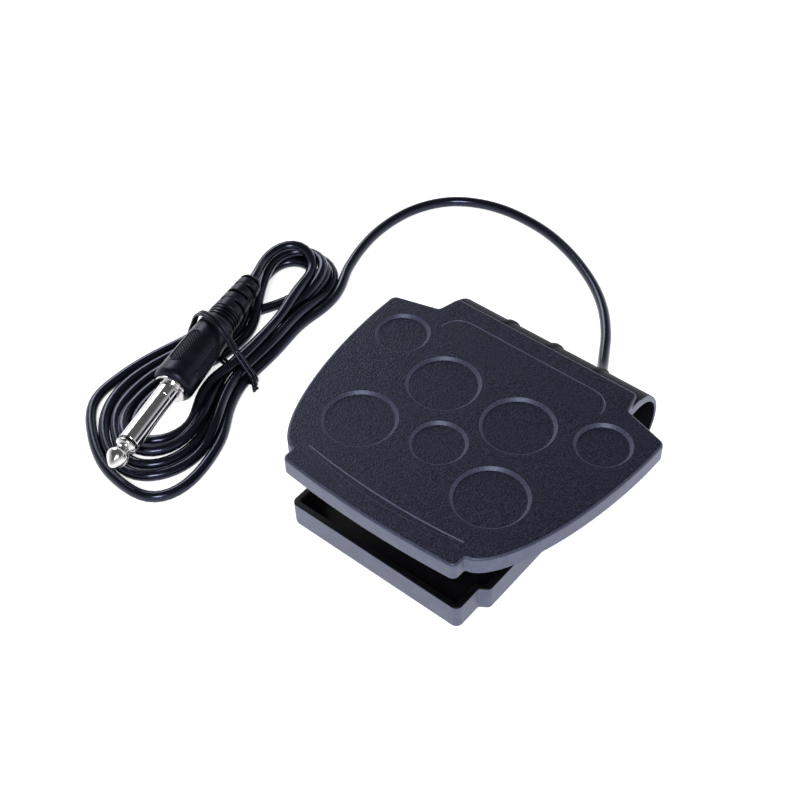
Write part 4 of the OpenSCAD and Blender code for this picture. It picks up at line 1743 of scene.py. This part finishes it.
@dataclass
class Tie:
    """The covered wire that binds plug and hank: two strands round them and a twisted end.

    Attributes:
        line: where the plug lies.
        along: where the loop crosses the plug, behind its tip.
        skew: the loop's turn from square to the plug, in degrees.
        diameter: of one strand.
        apart: between the two strands' middles.
        loop: across and above the plug's axis, clockwise from the twist at the right.
        twist: where the twisted end starts, across and above the axis.
        twist_run: how far it runs across, along and down.
        twist_turns: how often its strands turn about each other.
    """

    line: PlugLine = field(default_factory=PlugLine)
    along: float = 56.0
    skew: float = 20.0
    diameter: float = 1.05
    apart: float = 1.25
    loop: tuple[Point2, ...] = (
        (17.2, -6.2), (14.2, -3.6), (10.2, -0.2), (7.2, 3.4), (4.2, 6.0), (0.4, 6.9), (-3.6, 5.9),
        (-6.6, 3.0), (-8.8, -1.2), (-10.8, -5.2), (-11.9, -8.0), (-11.2, -9.3), (-7, -9.45),
        (2, -9.45), (11, -9.45), (15.8, -9.3), (17.6, -8.5), (17.8, -7.3), (17.2, -6.2),
    )  # fmt: skip
    twist: Point2 = (17.2, -6.8)
    twist_run: Point3 = (2.9, -1.9, -1.6)
    twist_turns: float = 1.6

    def place(self, across: float, shift: float, up: float) -> Point3:
        """Puts a point of the skewed loop into the frame.

        Args:
            across: distance across the plug in the plane of the loop.
            shift: distance to that plane.
            up: height above the plug's axis.

        Returns:
            The point in the frame.
        """
        a = math.radians(self.skew)
        return self.line.at(
            self.along - across * math.sin(a) + shift * math.cos(a),
            across * math.cos(a) + shift * math.sin(a),
            up,
        )

    def build(self) -> bpy.types.Object:
        """Makes both strands and the twisted end.

        Returns:
            The piece.
        """
        shell = Shell(place=self.place)
        for shift in (-self.apart / 2, self.apart / 2):
            path = curve_points([(x, shift, z) for x, z in self.loop], 6)
            shell.tube(path, self.diameter / 2)
        x, z = self.twist
        run_x, run_y, run_z = self.twist_run
        for start in (0.0, math.pi):
            tail = []
            for k in range(41):
                t = k / 40
                a = start + t * math.tau * self.twist_turns
                r = 0.55 if t > 0.08 else 0.62
                up = z + run_z * t + r * math.sin(a)
                tail.append((x + run_x * t, run_y * t + r * math.cos(a), up))
            shell.tube(tail, self.diameter / 2)
        return shell.make("covered_wire_tie", "twist_tie", (Finishes.TIE_PVC,), 50)


# ------------------------------------------------------------------- studio


@dataclass(frozen=True)
class Softbox:
    """A square lamp: where it stands and points, its size in metres and its power in watts."""

    name: str
    place: Point3
    target: Point3
    size: float
    power: float

    def build(self) -> bpy.types.Object:
        """Makes the lamp.

        Returns:
            The lamp.
        """
        data = bpy.data.lights.new(self.name, "AREA")
        data.shape = "SQUARE"
        data.size = self.size
        data.energy = self.power
        lamp = place_object(self.name, data)
        lamp.location = self.place
        aim = Vector(self.target) - Vector(self.place)
        lamp.rotation_euler = aim.to_track_quat("-Z", "Y").to_euler()
        return lamp


@dataclass
class Studio:
    """White sweep, soft lamps and world.

    Attributes:
        floor_half: half the floor's side in metres.
        floor_drop: how far it lies below the feet in metres, so that they don't share a face.
        glow: what makes the floor show white, seen or mirrored.
        fill: strength of the even light from all round.
        ceiling: the grey that gloss and metal mirror from overhead.
        lamps: the softboxes.
    """

    floor_half: float = 1.6
    floor_drop: float = 0.0001
    glow: float = 0.7
    fill: float = 0.4
    ceiling: float = 0.12
    lamps: tuple[Softbox, ...] = (
        Softbox("front_softbox", (0.36, -0.6, 0.72), (0, 0, 0.02), 0.3, 5.6),
        Softbox("side_softbox", (-0.9, 0.36, 0.62), (-0.06, 0, 0.02), 0.5, 4.0),
    )

    def build(self) -> None:
        """Makes the floor, the world and the lamps."""
        bpy.context.scene.view_settings.view_transform = "Standard"
        mesh = bpy.data.meshes.new("studio_floor")
        h = self.floor_half
        mesh.from_pydata([(-h, -h, 0), (h, -h, 0), (h, h, 0), (-h, h, 0)], [], [(0, 1, 2, 3)])
        mesh.materials.append(self.paper())
        floor = place_object("studio_floor", mesh)
        floor.location.z = -self.floor_drop
        self.world()
        for lamp in self.lamps:
            lamp.build()

    def most(
        self, tree: bpy.types.NodeTree, first: bpy.types.NodeSocket, other: bpy.types.NodeSocket
    ) -> bpy.types.NodeSocket:
        """Adds a node that gives the larger of two values.

        Args:
            tree: the node tree.
            first: one value.
            other: the other one.

        Returns:
            The socket.
        """
        larger = {"operation": "MAXIMUM"}
        return add_node(tree, "ShaderNodeMath", larger, {0: first, 1: other}).outputs[0]

    def seen(self, tree: bpy.types.NodeTree) -> bpy.types.NodeSocket:
        """Adds nodes that give 1 for camera, glossy and transmission rays.

        Args:
            tree: the node tree.

        Returns:
            The socket.
        """
        path = add_node(tree, "ShaderNodeLightPath").outputs
        either = self.most(tree, path["Is Camera Ray"], path["Is Glossy Ray"])
        return self.most(tree, either, path["Is Transmission Ray"])

    def paper(self) -> bpy.types.Material:
        """White sweep paper, which shows white but keeps the object's shadow.

        Returns:
            The material.
        """
        material = bpy.data.materials.new("paper_sweep_matt_white")
        tree = fresh_tree(material)
        matt = add_node(tree, "ShaderNodeBsdfDiffuse", {"Color": linear("#e6e6e8")}).outputs[0]
        light = {"Color": linear("#ffffff"), "Strength": self.glow}
        glow = add_node(tree, "ShaderNodeEmission", light).outputs[0]
        both = add_node(tree, "ShaderNodeAddShader", {}, {0: matt, 1: glow}).outputs[0]
        mix = add_node(tree, "ShaderNodeMixShader", {}, {0: self.seen(tree), 1: matt, 2: both})
        add_node(tree, "ShaderNodeOutputMaterial", {}, {0: mix.outputs[0]})
        return material

    def world(self) -> None:
        """A soft even world: white all round the horizon, and greyer overhead in mirrors."""
        world = bpy.data.worlds.new("studio_world")
        bpy.context.scene.world = world
        tree = fresh_tree(world)
        white = {"Color": linear("#ffffff")}
        soft = add_node(tree, "ShaderNodeBackground", {**white, "Strength": self.fill}).outputs[0]
        way = add_node(tree, "ShaderNodeTexCoord").outputs["Generated"]
        height = add_node(tree, "ShaderNodeSeparateXYZ", {}, {0: way}).outputs["Z"]
        fade = {1: 0.2, 2: 0.65, 3: 1.0, 4: self.ceiling}
        greyer = add_node(tree, "ShaderNodeMapRange", fade, {0: height}).outputs[0]
        camera = add_node(tree, "ShaderNodeLightPath").outputs["Is Camera Ray"]
        level = {"Strength": self.most(tree, greyer, camera)}
        plain = add_node(tree, "ShaderNodeBackground", white, level).outputs[0]
        mix = add_node(tree, "ShaderNodeMixShader", {}, {0: self.seen(tree), 1: soft, 2: plain})
        add_node(tree, "ShaderNodeOutputWorld", {}, {0: mix.outputs[0]})


def build_pedal() -> None:
    """Makes the camera, the cord and every piece."""
    logging.basicConfig(level=logging.INFO, format="%(name)s %(message)s")
    Camera().build()
    plug = Plug().build()
    tie = Tie().build()
    Cord().build([*plug, tie, Gland().build()])
    Treadle().build()
    Web().build()
    tray = Tray()
    tray.build()
    tray.build_rubber()
    Switch().dress()
    Studio().build()


if __name__ == "__main__":
    build_pedal()
